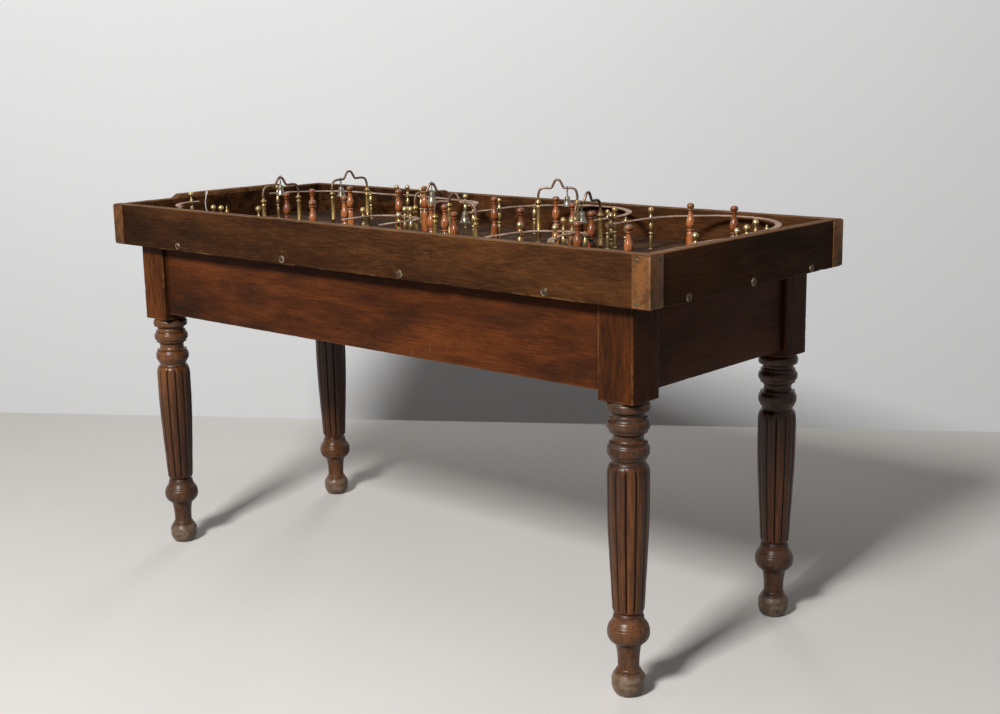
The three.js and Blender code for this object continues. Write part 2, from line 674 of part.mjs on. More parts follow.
function addArches() {
  const hungBell = bell();
  ARCHES.forEach((arch, index) => {
    const { middle, halfSpan, turn } = archFrame(arch);
    const line = archLine(halfSpan);
    const wire = tube(line, ARCH_WIRE_DIAMETER, ARCH_WIRE_SIDES, ARCH_WIRE_STEPS);
    const frame = addPart(`bell_arch_${index + 1}`,
      join([wire, archPost(-halfSpan), archPost(halfSpan)]), "brass");
    frame.position.copy(middle);
    frame.rotation.z = turn;
    const hook = onWire(line, halfSpan, arch.hangShare);
    hook.applyAxisAngle(new THREE.Vector3(0, 0, 1), turn).add(middle);
    const hanging = addPart(`bell_${index + 1}`, hungBell.clone(), "bellMetal");
    hanging.position.copy(hook);
    hanging.rotation.z = turn;
  });
}

// Pins

/** A pin turned in one piece: foot, ring, belly, neck, collar and head. */
function pin() {
  const foot = PIN_FOOT_DIAMETER;
  const belly = PIN_BELLY_DIAMETER;
  const neck = PIN_NECK_DIAMETER;
  const top = PIN_HEAD_DIAMETER;
  const height = PIN_HEIGHT;
  return turned([
    [foot * 0.84, 0], [foot, height * 0.03], [foot * 0.8, height * 0.42], [neck * 1.15, height * 0.46],
    [belly * 0.78, height * 0.49], [neck * 1.15, height * 0.52], [belly, height * 0.61],
    [neck, height * 0.84], [top, height * 0.94], [top * 0.4, height],
  ], PIN_SIDES);
}

function addPins() {
  const standingPin = pin();
  PIN_SHARES.forEach((shares, index) => {
    const mesh = addPart(`pin_${String(index + 1).padStart(2, "0")}`, standingPin.clone(), "pinWood");
    mesh.position.copy(onPlayfield(shares));
  });
}

// Cord

/** The brass eye on the inside of the launching end, with a flat plate against the wall. */
function addEye() {
  const face = -HALF_LENGTH;
  const top = RIM_HEIGHT + END_RISE - EYE_TOP_MARGIN;
  const plate = board(EYE_PLATE_THICKNESS, EYE_PLATE_WIDTH, EYE_PLATE_HEIGHT,
    face + EYE_PLATE_THICKNESS / 2, EYE_OFFSET, top - EYE_PLATE_HEIGHT);
  const ring = new THREE.TorusGeometry((EYE_RING_DIAMETER - EYE_RING_WIRE) / 2, EYE_RING_WIRE / 2,
    ARCH_WIRE_SIDES, SMALL_SIDES);
  ring.rotateX(RIGHT_ANGLE);
  ring.translate(face + EYE_PLATE_THICKNESS + EYE_RING_DIAMETER / 2 - EYE_RING_WIRE / 2, EYE_OFFSET,
    top - EYE_PLATE_HEIGHT / 2);
  addPart("string_eye", join([plate, ring]), "brass");
}

/** The piled loops of the coil: a spiral in, a climb of one layer, and a spiral out again. */
class CoilLine extends THREE.Curve {
  getPoint(share) {
    const turns = share * COIL_LOOPS;
    const reverse = COIL_LOOPS / 2;
    const fromReverse = turns - reverse;
    const inward = Math.hypot(reverse, COIL_REVERSE_SHARE) - Math.hypot(fromReverse, COIL_REVERSE_SHARE);
    const reach = COIL_OUTER_RADIUS - COIL_PITCH * inward;
    const climb = THREE.MathUtils.smoothstep(fromReverse, -COIL_CLIMB_SHARE, COIL_CLIMB_SHARE);
    const angle = 2 * Math.PI * turns;
    return new THREE.Vector3(COIL_CENTRE[0] + reach * Math.cos(angle), COIL_CENTRE[1] + reach * Math.sin(angle),
      PLAYFIELD + CORD_GAP + CORD_DIAMETER / 2 + climb * COIL_PITCH);
  }
}

/** Least gap between turns of a line that carries a tube, on points at least half a turn apart. */
function leastGap(points, apart, diameter) {
  let least = Infinity;
  for (let i = 0; i < points.length; i += 1) {
    for (let j = i + apart; j < points.length; j += 1) {
      least = Math.min(least, points[i].distanceTo(points[j]) - diameter);
    }
  }
  return least;
}

function addCord() {
  const route = new THREE.CatmullRomCurve3(CORD_ROUTE.map((point) => new THREE.Vector3(...point)));
  addPart("string", tube(route, CORD_DIAMETER, SMALL_SIDES, CORD_STEPS), "cotton");
  const coil = new CoilLine();
  const coilSteps = COIL_LOOPS * COIL_STEPS_PER_LOOP;
  const winding = tube(coil, CORD_DIAMETER, COIL_SIDES, coilSteps);
  const end = coil.getPoint(1);
  const knot = new THREE.SphereGeometry(CORD_DIAMETER * KNOT_SCALE / 2, COIL_SIDES, KNOT_RINGS);
  knot.translate(end.x, end.y, end.z);
  addPart("string_coil", join([winding, knot]), "cotton");
  const gap = leastGap(coil.getPoints(coilSteps), COIL_STEPS_PER_LOOP / 2, CORD_DIAMETER);
  console.log(`cord ${Math.round(route.getLength() + coil.getLength())} mm, least gap in coil ${gap.toFixed(2)} mm`);
}

addTray();
addStraps();
addLegs();
addAprons();
addRails();
addArches();
addPins();
addEye();
addCord();

export default game;
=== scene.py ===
"""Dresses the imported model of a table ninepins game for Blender 4.5.

Metres. X runs along the tray, Y across it and Z up, from the floor under the middle of the tray.
"Left" is -X, the launching end, and "front" is -Y.
"""

from __future__ import annotations

import logging
import math
from dataclasses import dataclass
from enum import Enum
from typing import Any, Callable, Sequence

import bpy
from mathutils import Matrix, Vector, noise

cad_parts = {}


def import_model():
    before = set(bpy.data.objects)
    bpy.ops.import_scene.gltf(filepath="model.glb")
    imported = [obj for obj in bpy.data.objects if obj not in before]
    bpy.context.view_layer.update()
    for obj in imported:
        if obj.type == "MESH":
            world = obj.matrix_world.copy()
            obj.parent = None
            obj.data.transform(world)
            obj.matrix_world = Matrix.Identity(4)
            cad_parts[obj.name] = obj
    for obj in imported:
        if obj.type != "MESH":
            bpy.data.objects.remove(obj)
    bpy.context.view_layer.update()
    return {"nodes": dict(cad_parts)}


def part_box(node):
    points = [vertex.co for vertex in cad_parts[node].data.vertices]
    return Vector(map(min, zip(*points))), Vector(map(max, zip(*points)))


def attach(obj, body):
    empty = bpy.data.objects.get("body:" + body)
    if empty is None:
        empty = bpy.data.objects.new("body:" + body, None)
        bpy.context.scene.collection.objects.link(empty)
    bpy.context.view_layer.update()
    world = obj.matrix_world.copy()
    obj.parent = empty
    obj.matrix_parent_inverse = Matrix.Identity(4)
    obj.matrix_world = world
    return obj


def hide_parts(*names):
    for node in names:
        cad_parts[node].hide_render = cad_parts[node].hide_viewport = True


LOG = logging.getLogger("ninepins")
MM = 0.001
FULL_TURN = 2 * math.pi
TABLE_BODY = "table"
MERGE_DISTANCE = 0.000002
ROUNDING_FACES = 3
ARC_STEPS = 200
UP = Vector((0, 0, 1))
STILL = Vector((0, 0, 0))
ROWS = ((-1, "front"), (1, "back"))
ENDS = ((-1, "left"), (1, "right"))

Point = Sequence[float]
Piece = bpy.types.Object
Socket = bpy.types.NodeSocket


@dataclass(frozen=True)
class Playfield:
    """The playfield: the height of its top, and its halves from the middle to the walls."""

    top: float = 0.734
    half_length: float = 0.7295
    half_width: float = 0.284

    def reach(self, shares: Point) -> tuple[float, float]:
        """The lengths along X and along Y that shares of its halves stand for."""
        return shares[0] * self.half_length, shares[1] * self.half_width

    def place(self, shares: Point) -> Vector:
        """The place on it at shares of its halves."""
        return Vector((*self.reach(shares), self.top))


PLAYFIELD = Playfield()


# Ways of making a mesh


def only(piece: Piece) -> Piece:
    """Selects one piece alone and makes it the active one.

    Args:
        piece: the piece to select.

    Returns:
        The same piece.
    """
    bpy.ops.object.select_all(action="DESELECT")
    piece.select_set(True)
    bpy.context.view_layer.objects.active = piece
    return piece


def edit(piece: Piece, selected: bool = True) -> None:
    """Opens a piece in edit mode.

    Args:
        piece: the piece to edit.
        selected: whether all of it starts selected.
    """
    only(piece)
    bpy.ops.object.mode_set(mode="EDIT")
    bpy.ops.mesh.select_all(action="SELECT" if selected else "DESELECT")


def close_edit() -> None:
    """Leaves edit mode."""
    bpy.ops.object.mode_set(mode="OBJECT")


def select_where(piece: Piece, kind: str, test: Callable[[Any], bool]) -> None:
    """Selects the vertices, edges or faces of a piece that pass a test, and opens it in edit mode.

    Args:
        piece: the piece to edit.
        kind: "VERT", "EDGE" or "FACE".
        test: takes one vertex, edge or face, and says whether it is wanted.
    """
    edit(piece, selected=False)
    bpy.ops.mesh.select_mode(type=kind)
    close_edit()
    parts = {"VERT": piece.data.vertices, "EDGE": piece.data.edges, "FACE": piece.data.polygons}[kind]
    for part in parts:
        part.select = bool(test(part))
    bpy.ops.object.mode_set(mode="EDIT")


def with_modifier(piece: Piece, kind: str, **settings: Any) -> Piece:
    """Adds a modifier to a piece and applies it.

    Args:
        piece: the piece to change.
        kind: Blender's name of the modifier's type.
        **settings: the modifier's own values.

    Returns:
        The same piece.
    """
    only(piece)
    bpy.ops.object.modifier_add(type=kind)
    modifier = piece.modifiers[-1]
    for name, value in settings.items():
        setattr(modifier, name, value)
    bpy.ops.object.modifier_apply(modifier=modifier.name)
    return piece


def smooth(piece: Piece, degrees: float = 35) -> Piece:
    """Shades a piece smoothly, but for edges sharper than an angle.

    Args:
        piece: the piece to shade.
        degrees: the angle between faces from which an edge stays sharp.

    Returns:
        The same piece.
    """
    only(piece)
    bpy.ops.object.shade_smooth_by_angle(angle=math.radians(degrees), keep_sharp_edges=False)
    return piece


def close_shell(piece: Piece) -> Piece:
    """Merges doubled vertices and turns all faces outwards.

    Args:
        piece: the piece to clean.

    Returns:
        The same piece.
    """
    edit(piece)
    bpy.ops.mesh.remove_doubles(threshold=MERGE_DISTANCE)
    bpy.ops.mesh.normals_make_consistent(inside=False)
    close_edit()
    return piece


def chain(name: str, points: Sequence[Point]) -> Piece:
    """Draws an open line of edges, point by point.

    Args:
        name: the new piece's name.
        points: the places along the line, in metres.

    Returns:
        The line as a mesh of edges.
    """
    bpy.ops.object.select_all(action="DESELECT")
    bpy.ops.mesh.primitive_plane_add(size=MM, location=(0, 0, 0))
    piece = bpy.context.object
    piece.name = name
    piece.data.name = name
    edit(piece)
    bpy.ops.mesh.select_mode(type="VERT")
    bpy.ops.mesh.merge(type="CENTER")
    bpy.ops.transform.translate(value=Vector(points[0]))
    for before, after in zip(points, points[1:]):
        step = Vector(after) - Vector(before)
        bpy.ops.mesh.extrude_vertices_move(TRANSFORM_OT_translate={"value": step})
    close_edit()
    return piece


class Outline:
    """The half outline of a turned piece, from its foot up, in millimetres from its axis."""

    def __init__(self, radius: float, height: float) -> None:
        """Starts the outline at a radius and a height."""
        self.points: list[tuple[float, float]] = [(radius, height)]

    def line(self, radius: float, height: float) -> "Outline":
        """Goes straight to a radius and a height, and returns the outline."""
        self.points.append((radius, height))
        return self

    def bead(self, radius: float, height: float, swell: float, steps: int = 8) -> "Outline":
        """Goes on in half an ellipse, as a bead or, with a negative swell, a cove.

        Args:
            radius: where the curve ends.
            height: where the curve ends.
            swell: how far it stands out from the straight line.
            steps: the number of stretches in it.

        Returns:
            The outline itself.
        """
        return self._curve(radius, height, swell, steps, lambda turn: (
            (1 - math.cos(turn)) / 2, math.sin(turn)))

    def bow(self, radius: float, height: float, swell: float, steps: int = 6) -> "Outline":
        """Goes on in a shallow bow that leaves the straight line at a slant.

        Args:
            radius: where the curve ends.
            height: where the curve ends.
            swell: how far it stands out from the straight line.
            steps: the number of stretches in it.

        Returns:
            The outline itself.
        """
        return self._curve(radius, height, swell, steps, lambda turn: (
            turn / math.pi, math.sin(turn)))

    def _curve(self, radius: float, height: float, swell: float, steps: int,
               shape: Callable[[float], tuple[float, float]]) -> "Outline":
        """Adds the points of a curve whose shape gives the share along and the share out."""
        start = Vector(self.points[-1])
        along = Vector((radius, height)) - start
        out = Vector((along.y, -along.x)).normalized()
        for index in range(1, steps + 1):
            share, reach = shape(math.pi * index / steps)
            point = start + along * share + out * swell * reach
            self.points.append((max(point.x, 0), point.y))
        return self


def turned(name: str, outline: Outline, steps: int, degrees: float = 35) -> Piece:
    """Turns an outline about Z into a closed piece that stands at the origin.

    Args:
        name: the new piece's name.
        outline: its half outline in millimetres.
        steps: the number of sides round the axis.
        degrees: the angle from which an edge stays sharp.

    Returns:
        The turned piece.
    """
    points = list(outline.points)
    if points[0][0] > 0:
        points.insert(0, (0, points[0][1]))
    if points[-1][0] > 0:
        points.append((0, points[-1][1]))
    piece = chain(name, [(radius * MM, 0, height * MM) for radius, height in points])
    edit(piece)
    bpy.ops.mesh.spin(steps=steps, angle=FULL_TURN, center=(0, 0, 0), axis=(0, 0, 1))
    close_edit()
    return smooth(close_shell(piece), degrees)


def section_curve(points: Sequence[Point]) -> Piece:
    """Draws a closed flat section, in metres, for sweep."""
    data = bpy.data.curves.new("section", "CURVE")
    data.dimensions = "2D"
    spline = data.splines.new("POLY")
    spline.points.add(len(points) - 1)
    for target, (across, high) in zip(spline.points, points):
        target.co = (across, high, 0, 1)
    spline.use_cyclic_u = True
    piece = bpy.data.objects.new("section", data)
    bpy.context.scene.collection.objects.link(piece)
    return piece


def angles(steps: int, rounds: float = 1) -> list[float]:
    """The angles of even steps round an axis, with both the first and the last."""
    return [FULL_TURN * rounds * index / steps for index in range(steps + 1)]


def round_section(diameter: float, sides: int, lobes: int = 0,
                  depth: float = 0) -> list[tuple[float, float]]:
    """The corners of a round section, which may have lobes as a laid cord has.

    Args:
        diameter: its largest width in metres.
        sides: the number of corners.
        lobes: the number of strands that show round it.
        depth: how deep the grooves between the strands are, as a share of the radius.

    Returns:
        The corners as (across, high) in metres.
    """
    corners = []
    for turn in angles(sides)[:-1]:
        groove = depth * (1 - abs(math.cos(lobes * turn / 2))) if lobes else 0
        reach = diameter / 2 * (1 - groove)
        corners.append((reach * math.cos(turn), reach * math.sin(turn)))
    return corners


def sweep(name: str, points: Sequence[Point], section: Sequence[Point], upright: bool = False,
          twist_length: float = 0, taper: Sequence[float] = ()) -> Piece:
    """Carries a closed section along a line, and makes it a mesh with capped ends.

    Args:
        name: the new piece's name.
        points: the line's places, in metres.
        section: the section's corners, in metres.
        upright: whether the section keeps its own up along Z.
        twist_length: the length in which the section turns round once, or 0.
        taper: the section's scale at each point, where it isn't 1 all along.

    Returns:
        The swept piece.
    """
    outline = section_curve(section)
    data = bpy.data.curves.new(name, "CURVE")
    data.dimensions = "3D"
    data.twist_mode = "Z_UP" if upright else "MINIMUM"
    spline = data.splines.new("POLY")
    spline.points.add(len(points) - 1)
    run = 0.0
    for index, point in enumerate(points):
        target = spline.points[index]
        target.co = (*point, 1)
        if index:
            run += (Vector(point) - Vector(points[index - 1])).length
        if twist_length:
            target.tilt = FULL_TURN * run / twist_length
        if taper:
            target.radius = taper[index]
    data.bevel_mode = "OBJECT"
    data.bevel_object = outline
    data.use_fill_caps = True
    piece = bpy.data.objects.new(name, data)
    bpy.context.scene.collection.objects.link(piece)
    only(piece)
    bpy.ops.object.convert(target="MESH")
    piece = bpy.context.object
    piece.name = name
    bpy.data.objects.remove(outline)
    return smooth(close_shell(piece))


def board(name: str, low: Point, high: Point, rounding: float,
          cuts: Sequence[int] = (0, 0, 0)) -> Piece:
    """Makes a board with rounded edges between two corners.

    Args:
        name: the new piece's name.
        low: its lowest corner.
        high: its highest corner.
        rounding: how far its edges are rounded.
        cuts: the number of cuts across X, Y and Z, for shaping it afterwards.

    Returns:
        The board.
    """
    lowest, highest = Vector(low), Vector(high)
    size = highest - lowest
    bpy.ops.object.select_all(action="DESELECT")
    bpy.ops.mesh.primitive_cube_add(size=1, location=(lowest + highest) / 2, scale=size)
    piece = bpy.context.object
    piece.name = name
    piece.data.name = name
    only(piece)
    bpy.ops.object.transform_apply(location=True, rotation=True, scale=True)
    with_modifier(piece, "BEVEL", width=rounding, segments=ROUNDING_FACES, limit_method="ANGLE",
                  harden_normals=False)
    for axis, count in enumerate(cuts):
        if count:
            cut_across(piece, axis, count, lowest[axis], highest[axis])
    return smooth(piece, 50)


def cut_across(piece: Piece, axis: int, count: int, low: float, high: float) -> None:
    """Subdivides the long edges that run along an axis.

    Args:
        piece: the piece to cut.
        axis: 0, 1 or 2, the axis that the edges run along.
        count: the number of cuts in each edge.
        low: where the piece starts on that axis.
        high: where it ends.
    """
    reach = (high - low) / 2

    def runs_along(item: bpy.types.MeshEdge) -> bool:
        """Whether an edge runs along the axis for more than half of the piece."""
        ends = [piece.data.vertices[index].co for index in item.vertices]
        return abs(ends[0][axis] - ends[1][axis]) > reach

    select_where(piece, "EDGE", runs_along)
    bpy.ops.mesh.subdivide(number_cuts=count)
    close_edit()


def move_points(piece: Piece, shift: Callable[[Vector], Point]) -> Piece:
    """Moves each vertex of a piece by what a rule gives for its place.

    Args:
        piece: the piece to shape.
        shift: takes a vertex's place and returns how far it moves, in metres.

    Returns:
        The same piece.
    """
    for vertex in piece.data.vertices:
        vertex.co = vertex.co + Vector(shift(vertex.co))
    piece.data.update()
    return piece


def placed_copy(piece: Piece, name: str, matrix: Matrix) -> Piece:
    """Copies a piece with a mesh of its own, and puts its place into that mesh.

    Args:
        piece: the piece to copy.
        name: the copy's name.
        matrix: where the copy goes.

    Returns:
        The copy.
    """
    data = piece.data.copy()
    data.name = name
    data.transform(matrix)
    if matrix.determinant() < 0:
        data.flip_normals()
    copy = bpy.data.objects.new(name, data)
    bpy.context.scene.collection.objects.link(copy)
    return copy


def discard(*pieces: Piece) -> None:
    """Removes pieces that were only made to be copied."""
    for piece in pieces:
        bpy.data.objects.remove(piece)


def joined(name: str, pieces: Sequence[Piece]) -> Piece:
    """Joins pieces into one of a given name.

    Args:
        name: the name that the joined piece gets.
        pieces: the pieces, of which none is left by itself.

    Returns:
        The joined piece.
    """
    bpy.ops.object.select_all(action="DESELECT")
    for piece in pieces:
        piece.select_set(True)
    bpy.context.view_layer.objects.active = pieces[0]
    if len(pieces) > 1:
        bpy.ops.object.join()
    whole = bpy.context.view_layer.objects.active
    whole.name = name
    whole.data.name = name
    return whole


def through_points(points: Sequence[Point], steps: int) -> list[Vector]:
    """Draws a smooth line through points, closer where they are closer.

    Args:
        points: the places that the line goes through.
        steps: the number of stretches between two of them.

    Returns:
        The line's places, the first and last points included.
    """
    known = [Vector(point) for point in points]
    known.insert(0, 2 * known[0] - known[1])
    known.append(2 * known[-1] - known[-2])
    line = [known[1]]
    for before, start, end, after in zip(known, known[1:], known[2:], known[3:]):
        gaps = [math.sqrt((b - a).length) for a, b in ((before, start), (start, end), (end, after))]
        leave = ((start - before) / gaps[0] - (end - before) / (gaps[0] + gaps[1])
                 + (end - start) / gaps[1]) * gaps[1]
        arrive = ((end - start) / gaps[1] - (after - start) / (gaps[1] + gaps[2])
                  + (after - end) / gaps[2]) * gaps[1]
        for index in range(1, steps + 1):
            share = index / steps
            line.append(start * (2 * share ** 3 - 3 * share ** 2 + 1)
                        + leave * (share ** 3 - 2 * share ** 2 + share)
                        + end * (3 * share ** 2 - 2 * share ** 3)
                        + arrive * (share ** 3 - share ** 2))
    return line


def smooth_step(value: float, low: float, high: float) -> float:
    """Goes smoothly from 0 at low to 1 at high, and returns the share."""
    share = min(max((value - low) / (high - low), 0), 1)
    return share * share * (3 - 2 * share)


def finish_piece(piece: Piece, material: bpy.types.Material, body: str = TABLE_BODY,
                 nodes: Sequence[str] = ()) -> Piece:
    """Gives a piece its material, its body and the solids that it stands for.

    Args:
        piece: the finished piece.
        material: the material all over it.
        body: the body that it rides on.
        nodes: the solids that it replaces.

    Returns:
        The same piece.
    """
    piece.data.materials.clear()
    piece.data.materials.append(material)
    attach(piece, body)
    if nodes:
        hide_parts(*nodes)
    LOG.info("%s: %d faces on %s", piece.name, len(piece.data.polygons), body)
    return piece


# Finishes


def tone(red: int, green: int, blue: int) -> tuple[float, float, float, float]:
    """Turns a colour of 0 to 255, as a screen shows it, into the shader's values."""
    shares = [channel / 255 for channel in (red, green, blue)]
    light = [share / 12.92 if share <= 0.04045 else ((share + 0.055) / 1.055) ** 2.4 for share in shares]
    return (*light, 1.0)


Tone = tuple[int, int, int]
# The tone that wood is darkened towards, both for grime and for painted shade.
GRIME_AND_SHADE: Tone = (21, 13, 8)


class Axis(Enum):
    """The axis that a board's grain runs along."""

    LENGTH = 0
    WIDTH = 1
    HEIGHT = 2


class Shader:
    """Builds the nodes of one material on Object coordinates."""

    def __init__(self, name: str) -> None:
        """Starts a material of that name."""
        self.material = bpy.data.materials.new(name)
        self.material.use_nodes = True
        self.tree = self.material.node_tree
        self.surface = self.tree.nodes["Principled BSDF"]
        self.place = self.add("TexCoord").outputs["Object"]
        self.axes = self.add("SeparateXYZ", {0: self.place}).outputs

    def add(self, kind: str, inputs: dict[Any, Any] | None = None, **settings: Any) -> bpy.types.Node:
        """Adds a node with its settings, and links or sets its inputs.

        Args:
            kind: the node's type, without its ShaderNode prefix.
            inputs: a socket or a value for each input, by name or number.
            **settings: the node's own values.

        Returns:
            The node.
        """
        node = self.tree.nodes.new("ShaderNode" + kind)
        for name, value in settings.items():
            setattr(node, name, value)
        for key, value in (inputs or {}).items():
            if isinstance(value, bpy.types.NodeSocket):
                self.tree.links.new(value, node.inputs[key])
            else:
                node.inputs[key].default_value = value
        return node

    def maths(self, operation: str, first: Any, second: Any = 0.0) -> Socket:
        """Returns what an operation of that name makes of one or two values or sockets."""
        return self.add("Math", {0: first, 1: second}, operation=operation).outputs[0]

    def plus(self, first: Any, second: Any) -> Socket:
        """Returns the sum of two values or sockets."""
        return self.maths("ADD", first, second)

    def minus(self, first: Any, second: Any) -> Socket:
        """Returns the first value or socket less the second."""
        return self.maths("SUBTRACT", first, second)

    def times(self, first: Any, second: Any) -> Socket:
        """Returns the product of two values or sockets."""
        return self.maths("MULTIPLY", first, second)

    def most(self, first: Any, *others: Any) -> Socket:
        """Returns the largest of some values or sockets."""
        for other in others:
            first = self.maths("MAXIMUM", first, other)
        return first

    def size(self, value: Socket) -> Socket:
        """Returns a value without its sign."""
        return self.maths("ABSOLUTE", value)

    def weighted(self, *parts: tuple[Socket, float]) -> Socket:
        """Returns the sum of some patterns, each times its share."""
        total, *others = [self.times(pattern, share) for pattern, share in parts]
        for other in others:
            total = self.plus(total, other)
        return total

    def beyond(self, length: float, width: float) -> list[Socket]:
        """Returns how far a place is beyond the sides of a box about Z, along X and along Y."""
        return [self.minus(self.size(self.axes[axis]), side / 2)
                for axis, side in ((0, length), (1, width))]

    def mapped(self, scale: Point, offset: Point = (0, 0, 0)) -> Socket:
        """Returns the place, scaled and moved."""
        return self.add("Mapping", {"Vector": self.place, "Location": offset, "Scale": scale}).outputs[0]

    def noise(self, vector: Socket, scale: float = 1, detail: float = 4, rough: float = 0.55,
              warp: float = 0) -> Socket:
        """Returns the factor of a noise pattern."""
        return self.add("TexNoise", {"Vector": vector, "Scale": scale, "Detail": detail, "Roughness": rough,
                                     "Distortion": warp}).outputs["Fac"]

    def patches(self, scale: Point) -> Socket:
        """Returns the rough noise that worn places follow, at a scale for each axis."""
        return self.noise(self.mapped(scale), detail=5, rough=0.7)

    def band(self, value: Socket, low: float, high: float, start: float = 0, end: float = 1) -> Socket:
        """Returns a smooth change from start at low to end at high."""
        return self.add("MapRange", {"Value": value, "From Min": low, "From Max": high, "To Min": start,
                                     "To Max": end}, interpolation_type="SMOOTHSTEP").outputs[0]

    def above(self, value: Socket, level: float, edges: Point, start: float = 0, end: float = 1) -> Socket:
        """Returns a smooth change from start to end between two edges, measured up from a level."""
        return self.band(value, level + edges[0], level + edges[1], start, end)

    def line(self, value: Socket, middle: float, width: float) -> Socket:
        """Returns 1 where a value is at the middle, and 0 from that width on."""
        return self.band(self.size(self.minus(value, middle)), 0, width, 1, 0)

    def ramp(self, value: Socket, stops: Sequence[tuple[float, Tone]]) -> Socket:
        """Returns a colour from stops of (place, tone)."""
        node = self.add("ValToRGB", {0: value})
        elements = node.color_ramp.elements
        while len(elements) < len(stops):
            elements.new(0.5)
        for element, (position, colour) in zip(elements, stops):
            element.position = position
            element.color = tone(*colour)
        return node.outputs[0]

    def blend(self, factor: Any, first: Any, second: Any) -> Socket:
        """Returns a mix of two colours."""
        return self.add("Mix", {0: factor, 6: first, 7: second}, data_type="RGBA").outputs[2]

    def tint(self, colour: Socket, factor: Any, target: Tone) -> Socket:
        """Returns a colour that is drawn by a factor to a tone."""
        return self.blend(factor, colour, tone(*target))

    def paint(self, colour: Socket, roughness: Any, height: Socket | None = None, depth: float = 0.0003,
              strength: float = 0.5, **values: Any) -> bpy.types.Material:
        """Sets the surface's colour, roughness and bump.

        Args:
            colour: the base colour.
            roughness: a socket or a value.
            height: the bump's height, from 0 to 1.
            depth: what a height of 1 stands for, in metres.
            strength: how strongly the bump turns the light.
            **values: other sockets of the surface, with spaces written as underscores.

        Returns:
            The material.
        """
        links = self.tree.links
        links.new(colour, self.surface.inputs["Base Color"])
        if isinstance(roughness, bpy.types.NodeSocket):
            links.new(roughness, self.surface.inputs["Roughness"])
        else:
            self.surface.inputs["Roughness"].default_value = roughness
        if height is not None:
            bump = self.add("Bump", {"Height": height, "Distance": depth, "Strength": strength})
            links.new(bump.outputs[0], self.surface.inputs["Normal"])
        for name, value in values.items():
            self.surface.inputs[name.replace("_", " ")].default_value = value
        return self.material


Pattern = Callable[[Shader], Socket]


@dataclass(frozen=True)
class OldWood:
    """Stained wood with streaky grain, worn edges, fine scratches and old polish, with painted light that
    makes it paler towards +X, and a darkening pattern that carries grime and painted shade.
    """

    name: str
    grain: Axis
    dark: Tone
    middle: Tone
    light: Tone
    worn: Tone
    fineness: float = 420
    run: float = 9
    scratches: float = 0.5
    roughness: float = 0.5
    coat: float = 0.0
    specular: float = 0.12
    # painted_light: how much paler the wood is painted towards +X, as light. painted_light_edges: where
    # along X that change starts and ends.
    painted_light: float = 0.0
    painted_light_edges: Point = (-0.15, 0.65)
    wear: Pattern | None = None
    grime_and_shade: Pattern | None = None

    def _stretched(self, shader: Shader, across: float, along: float, offset: float = 0) -> Socket:
        """Returns the place with its scale along the grain and across it."""
        scale = [across, across, across]
        scale[self.grain.value] = along
        return shader.mapped(scale, (offset, offset, offset))

    def material(self) -> bpy.types.Material:
        """Builds the material.

        Returns:
            The material.
        """
        shader = Shader(self.name)
        fibres = shader.noise(self._stretched(shader, self.fineness, self.run), detail=6, rough=0.65)
        streaks = shader.noise(self._stretched(shader, self.fineness / 7, self.run / 3, 3.1), detail=4,
                               rough=0.6, warp=0.8)
        clouds = shader.noise(self._stretched(shader, 9, 2.2, 7.7), detail=3)
        mixed = shader.weighted((fibres, 0.36), (streaks, 0.18), (clouds, 0.46))
        # Painted light: the wood gets paler towards +X, as if lit more strongly from that end.
        mixed = shader.plus(mixed, shader.band(shader.axes[0], *self.painted_light_edges, 0, self.painted_light))
        colour = shader.ramp(mixed, [(0.39, self.dark), (0.5, self.middle), (0.61, self.light)])
        pores = shader.noise(self._stretched(shader, self.fineness * 1.5, self.run * 9, 2.3), detail=3,
                             rough=0.7)
        stains = shader.noise(self._stretched(shader, 34, 15, 4.9), detail=5, rough=0.65)
        pored = shader.times(shader.band(pores, 0.52, 0.64), 0.42)
        stained = shader.times(shader.band(stains, 0.5, 0.68), 0.24)
        colour = shader.tint(colour, shader.most(pored, stained), self.dark)
        hair = shader.noise(self._stretched(shader, 150, 12, 1.7), detail=2, warp=1.2)
        patches = shader.noise(self._stretched(shader, 14, 6, 5.3), detail=2)
        scratch = shader.times(shader.line(hair, 0.5, 0.012), shader.band(patches, 0.52, 0.66))
        colour = shader.tint(colour, shader.times(scratch, self.scratches), self.worn)
        # Darkening towards that tone: grime and, in some woods, painted shade.
        if self.grime_and_shade is not None:
            colour = shader.tint(colour, self.grime_and_shade(shader), GRIME_AND_SHADE)
        if self.wear is not None:
            colour = shader.tint(colour, self.wear(shader), self.worn)
        rough = shader.band(mixed, 0.3, 0.7, self.roughness + 0.12, self.roughness - 0.06)
        height = shader.minus(mixed, shader.times(scratch, 0.3))
        return shader.paint(colour, rough, height, 0.0006, 0.55, Coat_Weight=self.coat, Coat_Roughness=0.3,
                            Specular_IOR_Level=self.specular)


